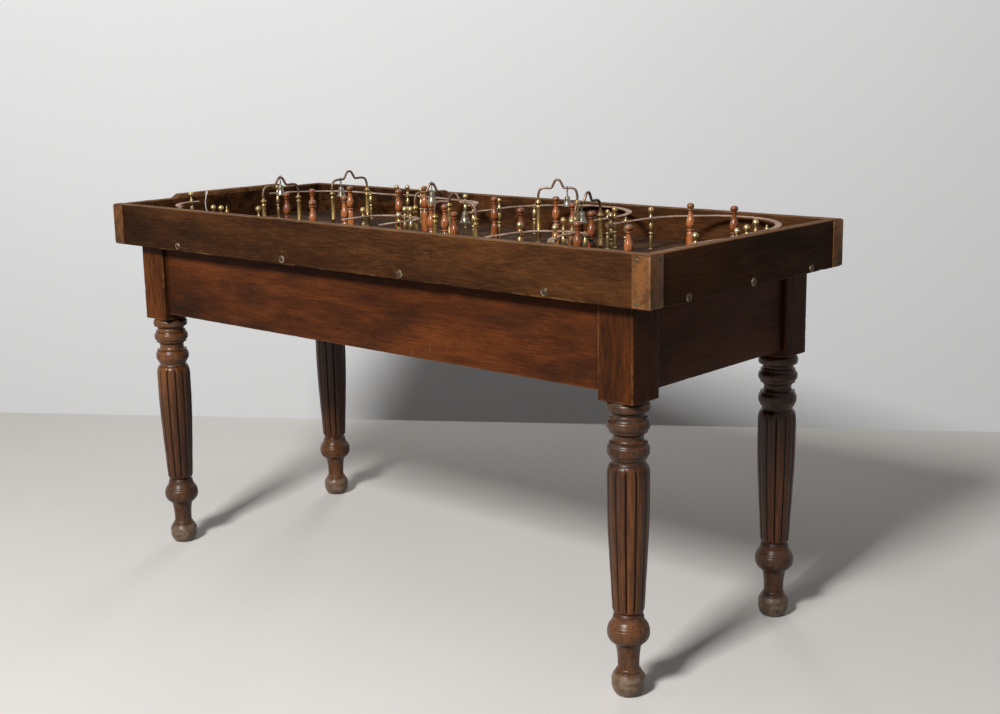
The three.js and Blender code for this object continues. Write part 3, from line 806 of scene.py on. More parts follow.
@dataclass(frozen=True)
class OldMetal:
    """Metal with a tarnish in clouds, patina in the worst of them, and fine specks."""

    name: str
    clean: Tone
    tarnish: Tone
    patina: Tone
    patina_from: float = 0.58
    cloud_scale: float = 60
    speck_scale: float = 500
    metallic: float = 0.8
    roughness: float = 0.38
    rubbed: Tone = (190, 150, 98)
    wear: Pattern | None = None

    def material(self) -> bpy.types.Material:
        """Builds the material.

        Returns:
            The material.
        """
        shader = Shader(self.name)
        clouds = shader.noise(shader.mapped((1, 1, 1)), self.cloud_scale, 4, 0.6, 0.3)
        specks = shader.noise(shader.mapped((1, 1, 1), (2, 5, 1)), self.speck_scale, 3, 0.6)
        mixed = shader.weighted((clouds, 0.65), (specks, 0.35))
        colour = shader.ramp(mixed, [(0.42, self.clean), (0.56, self.tarnish)])
        patina = shader.band(mixed, self.patina_from, self.patina_from + 0.08)
        colour = shader.tint(colour, shader.times(patina, 0.8), self.patina)
        if self.wear is not None:
            colour = shader.tint(colour, self.wear(shader), self.rubbed)
        rough = shader.band(mixed, 0.4, 0.65, self.roughness, self.roughness + 0.25)
        return shader.paint(colour, rough, specks, 0.0002, 0.35, Metallic=self.metallic)


@dataclass(frozen=True)
class PlayfieldWood:
    """The playfield's boards: dark and dry, with light arcs rubbed by the spinning top."""

    name: str = "playfield_wood"
    dark: Tone = (36, 24, 17)
    middle: Tone = (68, 47, 33)
    light: Tone = (104, 77, 55)
    rubbed: Tone = (172, 142, 112)
    seam: Tone = (26, 20, 17)
    arcs: Sequence[Point] = ((0.05, -0.32, 3.1), (-0.42, 0.2, 4.6), (0.45, -0.16, 3.8))
    board_width: float = 0.284
    seam_offset: float = 0.07
    seam_edges: Point = (0.0004, 0.0012)

    def material(self) -> bpy.types.Material:
        """Builds the material.

        Returns:
            The material.
        """
        shader = Shader(self.name)
        fibres = shader.noise(shader.mapped((7, 380, 380)), detail=6, rough=0.65)
        clouds = shader.noise(shader.mapped((2.2, 9, 9)), detail=4)
        dust = shader.noise(shader.mapped((11, 11, 11)), detail=6, rough=0.7)
        mixed = shader.weighted((fibres, 0.35), (clouds, 0.35), (dust, 0.3))
        colour = shader.ramp(mixed, [(0.38, self.dark), (0.5, self.middle), (0.63, self.light)])
        for index, (x, y, scale) in enumerate(self.arcs):
            centre = (x, y, PLAYFIELD.top)
            apart = shader.add("VectorMath", {0: shader.place, 1: centre}, operation="SUBTRACT")
            rings = shader.add("TexWave", {"Vector": apart.outputs[0], "Scale": scale, "Distortion": 2.4,
                                           "Detail": 1.0, "Detail Scale": 0.7}, wave_type="RINGS",
                               rings_direction="Z").outputs["Fac"]
            patches = shader.noise(shader.mapped((8, 8, 8), (index * 3.7, 1, 2)), detail=2)
            arcs = shader.times(shader.line(rings, 0.5, 0.06), shader.band(patches, 0.5, 0.66))
            colour = shader.tint(colour, shader.times(arcs, 0.5), self.rubbed)
        across = shader.plus(shader.axes[1], self.seam_offset)
        seams = shader.maths("PINGPONG", across, self.board_width / 2)
        colour = shader.tint(colour, shader.band(seams, *self.seam_edges, 0.8, 0), self.seam)
        return shader.paint(colour, shader.band(mixed, 0.35, 0.65, 0.75, 0.6), mixed, 0.0006, 0.5,
                            Specular_IOR_Level=0.06)


@dataclass(frozen=True)
class TurnedWood:
    """The pins' polished hardwood, with painted shade in its turned grooves, and worn pale on the foot."""

    name: str = "pin_wood"
    dark: Tone = (94, 44, 22)
    middle: Tone = (163, 90, 48)
    light: Tone = (212, 138, 84)
    head: Tone = (124, 84, 56)
    pale: Tone = (200, 150, 100)
    # groove and grooves: the tone, and the heights and widths in metres, of the painted shade in the turned
    # grooves.
    groove: Tone = (30, 12, 6)
    head_edges: Point = (0.088, 0.096)
    foot_edges: Point = (0.0015, 0.005)
    grooves: Sequence[Point] = ((0.0468, 0.0022), (0.0525, 0.0022), (0.0865, 0.0018), (0.0901, 0.002))

    def material(self) -> bpy.types.Material:
        """Builds the material.

        Returns:
            The material.
        """
        shader = Shader(self.name)
        fibres = shader.noise(shader.mapped((700, 700, 35)), detail=5, rough=0.6)
        each = shader.noise(shader.mapped((9, 9, 1.5)), detail=2)
        mixed = shader.weighted((fibres, 0.5), (each, 0.5))
        colour = shader.ramp(mixed, [(0.38, self.dark), (0.5, self.middle), (0.62, self.light)])
        height = shader.minus(shader.axes[2], PLAYFIELD.top)
        # The head is darker where it is handled, more on some pins than others.
        darker_share = shader.times(shader.band(height, *self.head_edges), shader.band(each, 0.4, 0.6, 0.2, 0.8))
        colour = shader.tint(colour, darker_share, self.head)
        # Painted shade in the turned grooves beside the beads.
        for middle, width in self.grooves:
            dark = shader.times(shader.line(height, middle, width), 0.85)
            colour = shader.tint(colour, dark, self.groove)
        scuffs = shader.noise(shader.mapped((160, 160, 160)), detail=4, rough=0.7)
        foot = shader.times(shader.band(height, *self.foot_edges, 1, 0), shader.band(scuffs, 0.45, 0.6))
        colour = shader.tint(colour, shader.times(foot, 0.7), self.pale)
        return shader.paint(colour, shader.band(mixed, 0.35, 0.65, 0.26, 0.17), fibres, 0.0002, 0.3,
                            Specular_IOR_Level=0.5)


@dataclass(frozen=True)
class Cotton:
    """White cotton, a little soiled, with the fibres of its yarn."""

    name: str = "cord_cotton"
    clean: Tone = (233, 228, 216)
    soiled: Tone = (203, 192, 172)

    def material(self) -> bpy.types.Material:
        """Builds the material.

        Returns:
            The material.
        """
        shader = Shader(self.name)
        yarn = shader.noise(shader.mapped((1, 1, 1)), 1800, 4, 0.6)
        soil = shader.noise(shader.mapped((1, 1, 1), (3, 1, 4)), 70, 3)
        colour = shader.ramp(soil, [(0.42, self.clean), (0.66, self.soiled)])
        return shader.paint(colour, 0.92, yarn, 0.0003, 0.6, Sheen_Weight=0.25)


# The room


def seen(tree: bpy.types.NodeTree) -> Socket:
    """Returns 1 for a ray by which the eye, metal or glass sees the room, and 0 for one that only lights.

    Args:
        tree: the nodes of a room's material or of the world.

    Returns:
        The factor.
    """
    path = tree.nodes.new("ShaderNodeLightPath")
    total = path.outputs["Is Camera Ray"]
    for name in ("Is Glossy Ray", "Is Transmission Ray"):
        most = tree.nodes.new("ShaderNodeMath")
        most.operation = "MAXIMUM"
        tree.links.new(total, most.inputs[0])
        tree.links.new(path.outputs[name], most.inputs[1])
        total = most.outputs[0]
    return total


@dataclass(frozen=True)
class Lamp:
    """A square soft lamp: its place, what it points at, its side in metres and its power in watts."""

    name: str
    place: Point
    target: Point
    side: float
    power: float
    in_view: bool = True


@dataclass
class Room:
    """The camera, the soft studio light, the pale floor and the wall behind."""

    eye: Point = (2.1178, -2.1670, 1.1226)
    azimuth: float = 42.2913
    elevation: float = 11.8963
    roll: float = -1.0992
    lens: float = 52.21
    sensor: float = 36.0
    floor_size: float = 14.0
    wall_line: tuple[Point, Point] = ((-2.189, 0.137, 0), (0.428, 1.869, 0))
    wall_height: float = 4.0
    floor_tone: Tone = (240, 236, 231)
    wall_tone: Tone = (254, 254, 254)
    bounce_tone: Tone = (90, 86, 82)
    far_tone: Tone = (172, 172, 174)
    lift: float = 0.03
    world_tone: Tone = (214, 214, 216)
    world_strength: float = 0.06
    lamps: Sequence[Lamp] = (
        Lamp("key_lamp", (1.0, -4.3, 3.7), (-0.2, 0.2, 0.5), 1.0, 280),
        Lamp("top_lamp", (-0.4, -0.7, 3.4), (-0.4, 0.1, 0), 2.4, 9),
        Lamp("back_lamp", (-2.5, 3.1, 0.5), (0, 0, 0.55), 1.0, 74, in_view=False),
    )

    def build(self) -> None:
        """Makes everything in the room."""
        self.add_camera()
        self.add_lights()
        self.add_floor()
        self.add_wall()

    def add_camera(self) -> None:
        """Puts the camera where the photograph was taken from."""
        turn, tilt, roll = (math.radians(value) for value in (self.azimuth, self.elevation, self.roll))
        back = Vector((math.sin(turn) * math.cos(tilt), -math.cos(turn) * math.cos(tilt), math.sin(tilt)))
        level = Vector((math.cos(turn), math.sin(turn), 0))
        above = back.cross(level)
        right = level * math.cos(roll) + above * math.sin(roll)
        up = above * math.cos(roll) - level * math.sin(roll)
        data = bpy.data.cameras.new("camera")
        data.sensor_width = self.sensor
        data.sensor_fit = "HORIZONTAL"
        data.lens = self.lens
        camera = bpy.data.objects.new("camera", data)
        bpy.context.scene.collection.objects.link(camera)
        matrix = Matrix((right, up, back)).transposed().to_4x4()
        matrix.translation = Vector(self.eye)
        camera.matrix_world = matrix
        bpy.context.scene.camera = camera

    def add_lamp(self, lamp: Lamp) -> None:
        """Adds one lamp."""
        data = bpy.data.lights.new(lamp.name, "AREA")
        data.shape = "SQUARE"
        data.size = lamp.side
        data.energy = lamp.power
        light = bpy.data.objects.new(lamp.name, data)
        bpy.context.scene.collection.objects.link(light)
        light.location = lamp.place
        aim = Vector(lamp.target) - Vector(lamp.place)
        light.rotation_mode = "QUATERNION"
        light.rotation_quaternion = aim.to_track_quat("-Z", "Y")
        light.visible_camera = lamp.in_view
        light.visible_glossy = lamp.in_view

    def add_lights(self) -> None:
        """Lights the object from beside the camera, from above and weakly from low behind."""
        for lamp in self.lamps:
            self.add_lamp(lamp)
        world = bpy.data.worlds.new("studio")
        bpy.context.scene.world = world
        world.use_nodes = True
        tree = world.node_tree
        background = tree.nodes["Background"]
        background.inputs["Color"].default_value = tone(*self.world_tone)
        background.inputs["Strength"].default_value = self.world_strength
        pale = tree.nodes.new("ShaderNodeBackground")
        pale.inputs["Color"].default_value = tone(*self.far_tone)
        mix = tree.nodes.new("ShaderNodeMixShader")
        tree.links.new(seen(tree), mix.inputs[0])
        tree.links.new(background.outputs[0], mix.inputs[1])
        tree.links.new(pale.outputs[0], mix.inputs[2])
        tree.links.new(mix.outputs[0], tree.nodes["World Output"].inputs["Surface"])

    def add_floor(self) -> Piece:
        """Lays the pale floor and returns it."""
        bpy.ops.object.select_all(action="DESELECT")
        bpy.ops.mesh.primitive_plane_add(size=self.floor_size, location=(0, 0, 0))
        floor = bpy.context.object
        floor.name = "floor"
        floor.data.materials.append(self.pale_paint("floor", self.floor_tone, 2.5).material)
        return floor

    def pale_paint(self, name: str, colour: Tone, scale: float) -> Shader:
        """Paints a surface of the room, which is paler to the eye than the light that it throws back.

        Args:
            name: the material's name.
            colour: its colour to the eye.
            scale: the scale of its faint clouds.

        Returns:
            The shader.
        """
        shader = Shader(name)
        clouds = shader.noise(shader.place, scale, 3)
        pale = shader.ramp(clouds, [(0.3, colour), (0.7, tuple(channel - 3 for channel in colour))])
        view = seen(shader.tree)
        shader.paint(shader.blend(view, tone(*self.bounce_tone), pale), 0.8, Specular_IOR_Level=0.1,
                     Emission_Color=tone(*colour))
        shader.tree.links.new(shader.times(view, self.lift),
                              shader.surface.inputs["Emission Strength"])
        return shader

    def add_wall(self) -> Piece:
        """Stands the wall behind, which is clear from its back and to lamps behind it, and returns it."""
        first, last = (Vector(end) for end in self.wall_line)
        middle = (first + last) / 2
        along = (last - first).normalized()
        bpy.ops.object.select_all(action="DESELECT")
        bpy.ops.mesh.primitive_plane_add(size=1, location=(0, 0, 0))
        wall = bpy.context.object
        wall.name = "backdrop"
        out = Vector((along.y, -along.x, 0))
        matrix = Matrix((along * self.floor_size, UP * self.wall_height, out)).transposed().to_4x4()
        matrix.translation = middle + UP * self.wall_height / 2
        wall.data.transform(matrix)
        shader = self.pale_paint("backdrop", self.wall_tone, 1.1)
        geometry = shader.add("NewGeometry")
        clear = shader.add("BsdfTransparent")
        path = shader.add("LightPath")
        open_to = shader.most(geometry.outputs["Backfacing"], path.outputs["Is Shadow Ray"])
        mix = shader.add("MixShader", {0: open_to, 1: shader.surface.outputs[0], 2: clear.outputs[0]})
        output = shader.tree.nodes["Material Output"]
        shader.tree.links.new(mix.outputs[0], output.inputs["Surface"])
        wall.data.materials.append(shader.material)
        return wall


# The cord


@dataclass
class SpinningCord:
    """The cotton cord on its eye: down the wall, over the playfield and into its coil, in millimetres."""

    route: Sequence[Point] = (
        (-720.2, -72, 807.6), (-720.6, -74.6, 798), (-721.4, -76.6, 788), (-722.2, -76.4, 777),
        (-722, -74.4, 766), (-720.8, -72.4, 755), (-718, -70.2, 746.4), (-713, -67, 739.6),
        (-706.4, -62, 736.4), (-698, -55, 735.8), (-688, -47, 735.8), (-677.6, -38, 735.8),
        (-670.4, -28, 735.8), (-667.8, -18, 735.8), (-667, -9, 735.8), (-667, -0.3, 735.8),
    )
    diameter: float = 3.0
    length: float = 659.0
    loops: float = 4.75
    outer_radius: float = 21.0
    pitch: float = 3.6
    climb_share: float = 0.25
    reverse_share: float = 0.12
    coil_centre: Point = (-688.0, 0.0)
    coil_height: float = 735.8
    steps_per_loop: int = 60
    strands: int = 3
    groove_share: float = 0.28
    lay_length: float = 9.0
    knot_size: float = 1.25
    knot_share: float = 0.62
    knot_width_share: float = 0.8
    knot_lay_share: float = 0.6
    tail_width_shares: Sequence[float] = (1, 1, 1, 1, 1, 1, 1.05, 1.15, 1.25)
    knot_steps: int = 60
    tail_drop_share: float = 0.3
    tail_drop_end: int = 3
    eye_wire_radius: float = 0.8
    hitch_share: float = 0.62
    hitch_width_share: float = 0.72
    hitch_reach: float = 1.6
    hitch_steps: int = 40
    wrap_radius: float = 1.9
    wrap_height: float = 6.2
    wraps: int = 3
    steps_per_wrap: int = 24

    def coil_point(self, turns: float) -> Vector:
        """The place on the coil after so many turns: a spiral in, a climb of one layer and a spiral out."""
        reverse = self.loops / 2
        beyond = turns - reverse
        inward = math.hypot(reverse, self.reverse_share) - math.hypot(beyond, self.reverse_share)
        reach = self.outer_radius - self.pitch * inward
        climb = smooth_step(beyond, -self.climb_share, self.climb_share)
        angle = FULL_TURN * turns
        return Vector((self.coil_centre[0] + reach * math.cos(angle),
                       self.coil_centre[1] + reach * math.sin(angle),
                       self.coil_height + climb * self.pitch)) * MM

    def line(self) -> list[Vector]:
        """The whole route as close points in metres."""
        way = through_points([Vector(point) * MM for point in self.route], 10)
        count = round(self.loops * self.steps_per_loop)
        return way + [self.coil_point(self.loops * index / count) for index in range(1, count + 1)]

    def section(self, width_share: float, sides: int = 12) -> list[tuple[float, float]]:
        """The section of the cord with its strands, where it is drawn in to a share of its width."""
        return round_section(self.diameter * MM * width_share, sides, self.strands, self.groove_share)

    def build(self) -> None:
        """Makes the cord, its hitch on the eye and the knot at its end."""
        cotton = Cotton().material()
        line = self.line()
        cord = sweep("spinning_cord", line, self.section(1, 15), twist_length=self.lay_length * MM)
        finish_piece(cord, cotton, nodes=["string", "string_coil"])
        knot = self.knot(line[-1], line[-1] - line[-2])
        hitch = self.hitch(line[0])
        for piece in (knot, hitch):
            finish_piece(piece, cotton)

    def knot(self, place: Vector, heading: Vector) -> Piece:
        """Ties an overhand knot with a short tail.

        Args:
            place: where it sits.
            heading: the way that the cord comes in.

        Returns:
            The knot.
        """
        size = self.knot_size * MM
        points = [Vector((math.sin(turn) + 2 * math.sin(2 * turn), math.cos(turn) - 2 * math.cos(2 * turn),
                          -math.sin(3 * turn))) * size * self.knot_share
                  for turn in angles(self.knot_steps)]
        section = self.section(self.knot_width_share)
        tie = sweep("tie", points, section, twist_length=self.lay_length * MM * self.knot_lay_share)
        facing = heading.to_track_quat("Z", "Y").to_matrix().to_4x4()
        tie.data.transform(Matrix.Translation(place) @ facing)
        out = heading.normalized() * MM
        down = UP * self.tail_drop_share * MM
        tail_points = [place + out * step - down * min(step, self.tail_drop_end)
                       for step in range(len(self.tail_width_shares))]
        tail = sweep("tail", tail_points, section, twist_length=self.lay_length * MM,
                     taper=self.tail_width_shares)
        return joined("cord_end_knot", [tie, tail])

    def hitch(self, start: Vector) -> Piece:
        """Ties the cord's loop through the ring of its eye.

        Args:
            start: where the cord leaves the eye.

        Returns:
            The hitch.
        """
        eye_low, eye_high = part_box("string_eye")
        ring = Vector((eye_high.x - self.eye_wire_radius * MM, (eye_low.y + eye_high.y) / 2,
                       (eye_low.z + eye_high.z) / 2))
        middle = (ring + start) / 2
        around = [middle + (start - ring) * self.hitch_share * math.cos(turn)
                  + Vector((0, self.hitch_reach * MM * math.sin(turn), 0))
                  for turn in angles(self.hitch_steps)]
        radius = self.wrap_radius * MM
        turns = angles(self.steps_per_wrap * self.wraps, self.wraps)
        down = [start + Vector((radius * math.cos(turn), radius * math.sin(turn),
                                (turn / turns[-1] - 0.5) * self.wrap_height * MM)) for turn in turns]
        section = self.section(self.hitch_width_share)
        return joined("cord_hitch", [sweep(name, points, section, twist_length=self.lay_length * MM)
                                     for name, points in (("hitch_loop", around), ("hitch_wraps", down))])


# The tray


@dataclass
class Tray:
    """The playfield and its walls, with the bolts, the corner straps and the cord's eye.

    The boards and their worn places are in metres. The bolts, straps, screws and the eye are in
    millimetres, but for their roundings and the screws' slot.
    """

    length: float = 1.507
    width: float = 0.616
    rim: float = 0.8
    wall_height: float = 0.091
    wall_thickness: float = 0.024
    rounding: float = 0.0022
    edge_depth: float = 0.004
    rim_wave: float = 0.0005
    rim_ripple: float = 0.0003
    chip_depth: float = 0.0032
    rim_rub: Point = (-0.0014, -0.0004)
    foot_rub: Point = (0.001, 0.005)
    scrape_level: float = -0.0028
    scrape_width: float = 0.0009
    scrape_drift: float = 0.02
    scrape_middle: float = -0.42
    scrape_reach: float = 0.3
    inner_edges: Point = (0.001, 0.003)
    # Where along X the painted shade on the inner faces, and on every face, fades out.
    inner_shade_edges: Point = (-0.2, 0.2)
    outer_shade_edges: Point = (-0.75, -0.1)
    bolt_rub: Point = (0.0012, 0.0018)
    strap_rub: Point = (-0.0012, 0.0014)
    end_rise: float = 0.009
    end_rise_flat: float = 0.294
    end_rise_ramp: float = 0.020
    end_rise_offset: float = 0.012
    bolt_diameter: float = 15.0
    bolt_height: float = 3.5
    long_wall_bolt_shares: Sequence[float] = (-0.686, -0.218, 0.235, 0.706)
    long_wall_bolt_lift: float = 0.011
    end_wall_bolt_shares: Sequence[float] = (-0.645, 0.0, 0.64)
    end_wall_bolt_lift: float = 0.0085
    strap_leg: float = 35.0
    strap_thickness: float = 2.0
    strap_margin: float = 2.0
    strap_corner: float = 3.2
    screw_diameter: float = 8.0
    screw_height: float = 1.6
    screw_shares: Sequence[float] = (0.09, 0.91)
    screw_reach_share: float = 0.7
    strap_rounding: float = 0.0005
    slot_size: Point = (0.006, 0.0005)
    slot_rounding: float = 0.00005
    long_wall_cuts: Sequence[int] = (420, 0, 6)
    end_wall_cuts: Sequence[int] = (0, 160, 6)
    eye_rounding: float = 0.0003
    eye_plate: float = 1.2
    eye_offset: float = 0.4
    eye_radius: float = 2.2
    eye_wire: float = 1.6
    eye_steps: int = 30

    @property
    def bottom(self) -> float:
        """The height of the tray's underside."""
        return self.rim - self.wall_height

    def wood(self, name: str, grain: Axis) -> OldWood:
        """The finish of a wall, with its grain along one axis."""
        # Painted light: the long walls get paler towards +X.
        painted_light = 0.055 if grain is Axis.LENGTH else 0.0
        return OldWood(name, grain, dark=(40, 22, 11), middle=(71, 42, 21), light=(104, 64, 34),
                       worn=(158, 112, 68), fineness=400, run=30, scratches=0.4, roughness=0.56,
                       specular=0.08, painted_light=painted_light, wear=self.worn_edges, grime_and_shade=self.painted_wall_shade)

    def worn_edges(self, shader: Shader) -> Socket:
        """Where the rim and the bottom edge are rubbed light, in patches."""
        height = shader.axes[2]
        rim = shader.above(height, self.rim, self.rim_rub)
        foot = shader.above(height, self.bottom, self.foot_rub, 1, 0)
        patches = shader.patches((16, 90, 90))
        rim = shader.times(rim, shader.band(patches, 0.38, 0.62, 0.12, 0.6))
        foot = shader.times(foot, shader.band(patches, 0.5, 0.62, 0.0, 0.7))
        drift = shader.times(shader.noise(shader.mapped((9, 9, 2)), detail=4), self.scrape_drift)
        scrape = shader.line(shader.minus(height, drift), self.bottom + self.scrape_level,
                             self.scrape_width)
        scrape = shader.times(scrape, shader.band(patches, 0.46, 0.56, 0, 0.7))
        scrape = shader.times(scrape, shader.line(shader.axes[0], self.scrape_middle, self.scrape_reach))
        return shader.most(rim, foot, scrape)

    def painted_wall_shade(self, shader: Shader) -> Socket:
        """Painted shade: a wall's inner face is darker, in clouds, most of all at the launching end, and
        every face darkens a little towards the launching end.
        """
        # Painted shade on the inner faces, in clouds, strongest at the launching end.
        inside = shader.times(*(shader.above(out, -self.wall_thickness, self.inner_edges, 1, 0)
                                for out in shader.beyond(self.length, self.width)))
        clouds = shader.noise(shader.mapped((22, 22, 30)), detail=6, rough=0.7)
        darker_share = shader.band(shader.axes[0], *self.inner_shade_edges, 0.85, 0.2)
        grime_and_shade = shader.times(shader.band(clouds, 0.4, 0.62), darker_share)
        # Painted shade on every face, growing towards the launching end.
        outside = shader.band(shader.axes[0], *self.outer_shade_edges, 0.2, 0)
        return shader.most(shader.times(inside, grime_and_shade), outside)

    def build(self, playfield: Piece) -> None:
        """Makes the whole tray.

        Args:
            playfield: the frame's own board, which gets its finish.
        """
        long_wood = self.wood("long_wall_wood", Axis.LENGTH).material()
        end_wood = self.wood("end_wall_wood", Axis.WIDTH).material()
        playfield.data.materials.clear()
        playfield.data.materials.append(PlayfieldWood().material())
        for side, name in ROWS:
            wall = self.long_wall(side, f"{name}_wall")
            finish_piece(wall, long_wood, nodes=[f"long_wall_{name}"])
        for side, name in ENDS:
            wall = self.end_wall(side, f"{name}_end_wall")
            finish_piece(wall, end_wood, nodes=[f"end_wall_{name}"])
        self.add_bolts()
        self.add_straps()
        self.add_eye()

    def rough_edge(self, place: Vector, outward: Vector) -> Vector:
        """How far a wall's vertex is worn away: a wavy rim and a splintered bottom edge."""
        run = place.x + place.y
        wave = self.rim_wave * noise.noise(Vector((run * 7, 3, outward.y)))
        shift = STILL.copy()
        if place.z > self.rim - self.edge_depth:
            shift.z += wave + self.rim_ripple * noise.noise(Vector((run * 45, 1, outward.x)))
        if place.z < self.bottom + self.edge_depth and outward.dot(place) > 0:
            chip = noise.noise(Vector((run * 38, 9, 2))) + 0.5 * noise.noise(Vector((run * 130, 5, 2)))
            depth = max(chip - 0.12, 0) * self.chip_depth
            shift.z += depth
            shift -= outward * depth * 0.5
        return shift

    def long_wall(self, side: int, name: str) -> Piece:
        """Makes a long wall.

        Args:
            side: -1 at the front, 1 at the back.
            name: the wall's name.

        Returns:
            The wall.
        """
        outer = side * self.width / 2
        inner = side * (self.width / 2 - self.wall_thickness)
        wall = board(name, (-self.length / 2, min(outer, inner), self.bottom),
                     (self.length / 2, max(outer, inner), self.rim), self.rounding, self.long_wall_cuts)
        outward = Vector((0, side, 0))
        return move_points(wall, lambda place: self.rough_edge(place, outward))

    def rise_at(self, across: float) -> float:
        """How far the launching end stands up at a place across the tray."""
        reach = abs(across - self.end_rise_offset) - self.end_rise_flat / 2
        return self.end_rise * (1 - smooth_step(reach, 0, self.end_rise_ramp))

    def end_wall(self, side: int, name: str) -> Piece:
        """Makes an end wall. The launching end has a raised middle.

        Args:
            side: -1 at the launching end, 1 at the plain end.
            name: the wall's name.

        Returns:
            The wall.
        """
        outer = side * self.length / 2
        inner = side * (self.length / 2 - self.wall_thickness)
        half = self.width / 2 - self.wall_thickness
        wall = board(name, (min(outer, inner), -half, self.bottom), (max(outer, inner), half, self.rim),
                     self.rounding, self.end_wall_cuts)
        outward = Vector((side, 0, 0))
        if side < 0:
            top = self.rim - self.wall_height / 7

            def raise_middle(place: Vector) -> Vector:
                """Lifts the top of the wall between its two ramps."""
                share = max((place.z - top) / (self.rim - top), 0)
                return Vector((0, 0, self.rise_at(place.y) * min(share, 1)))

            move_points(wall, raise_middle)
        return move_points(wall, lambda place: self.rough_edge(place, outward))

    def bolt_head(self) -> Piece:
        """A round bolt head on its washer, standing on Z."""
        radius = self.bolt_diameter / 2
        high = self.bolt_height
        outline = (Outline(radius, -0.6).line(radius, high * 0.22).bead(radius * 0.9, high * 0.34, 0.15, 3)
                   .line(radius * 0.8, high * 0.3).line(radius * 0.76, high * 0.3)
                   .bow(radius * 0.45, high * 0.82, 0.35, 5).bow(0, high, 0.12, 3))
        return turned("bolt_head", outline, 32)

    def bright_ring(self, shader: Shader) -> Socket:
        """Where a bolt head's rim is rubbed bright, in patches."""
        rim = shader.band(shader.most(*shader.beyond(self.length, self.width)), *self.bolt_rub, 1, 0)
        patches = shader.noise(shader.mapped((95, 95, 95)), detail=3)
        return shader.times(rim, shader.band(patches, 0.44, 0.54, 0.1, 0.95))

    def add_bolts(self) -> None:
        """Sets the bolt heads along the walls, in one piece for each wall."""
        steel = OldMetal("bolt_steel", (92, 66, 44), (60, 40, 26), (90, 80, 60), cloud_scale=120,
                         metallic=0.4, roughness=0.34, rubbed=(176, 160, 132),
                         wear=self.bright_ring).material()
        head = self.bolt_head()
        height = self.bottom + self.long_wall_bolt_lift
        end_height = self.bottom + self.end_wall_bolt_lift
        rows = [(name, Matrix.Rotation(math.pi / 2 * -side, 4, "X"),
                 [(share * self.length / 2, side * self.width / 2, height)
                  for share in self.long_wall_bolt_shares]) for side, name in ROWS]
        rows += [(name, Matrix.Rotation(math.pi / 2 * side, 4, "Y"),
                  [(side * self.length / 2, share * self.width / 2, end_height)
                   for share in self.end_wall_bolt_shares]) for side, name in ENDS]
        for name, turn, places in rows:
            copies = [placed_copy(head, "bolt", Matrix.Translation(place) @ turn) for place in places]
            finish_piece(joined(f"{name}_wall_bolts", copies), steel)
        discard(head)

    def strap(self) -> Piece:
        """The copper angle of the corner at +X and +Y, about that corner, from its foot up."""
        out = self.strap_thickness
        radius = self.strap_corner
        points = [(-self.strap_leg, out)]
        for turn in reversed(angles(8, 0.25)):
            points.append((out - radius * (1 - math.cos(turn)), out - radius * (1 - math.sin(turn))))
        points.append((out, -self.strap_leg))
        sheet = chain("strap", [(x * MM, y * MM, 0) for x, y in points])
        height = self.wall_height - 2 * self.strap_margin * MM
        edit(sheet)
        bpy.ops.mesh.extrude_region_move(TRANSFORM_OT_translate={"value": (0, 0, height)})
        close_edit()
        with_modifier(sheet, "SOLIDIFY", thickness=self.strap_thickness * MM, offset=1,
                      use_even_offset=True)
        if min(vertex.co.x for vertex in sheet.data.vertices) < -self.strap_leg * MM - MERGE_DISTANCE:
            LOG.warning("the strap's wall went the wrong way")
        with_modifier(sheet, "BEVEL", width=self.strap_rounding, segments=2, limit_method="ANGLE",
                      angle_limit=0.9)
        return sheet

    def screw(self) -> Piece:
        """A slotted screw head, standing on Z."""
        radius = self.screw_diameter / 2
        high = self.screw_height
        outline = Outline(radius, -0.5).line(radius, 0.25).bow(radius * 0.6, high * 0.8, 0.25, 4)
        head = turned("screw_head", outline.bow(0, high, 0.05, 2), 28)
        long, wide = self.slot_size
        slot = board("slot", (-long, -wide, high * MM * 0.45), (long, wide, high * MM * 2),
                     self.slot_rounding)
        with_modifier(head, "BOOLEAN", operation="DIFFERENCE", object=slot, solver="EXACT")
        discard(slot)
        return head

    def rubbed_corner(self, shader: Shader) -> Socket:
        """Where a strap is rubbed bright, along its corner."""
        corner = shader.times(*(shader.band(out, *self.strap_rub)
                                for out in shader.beyond(self.length, self.width)))
        return shader.times(corner, shader.band(shader.patches((60, 60, 40)), 0.36, 0.6, 0.05, 0.6))

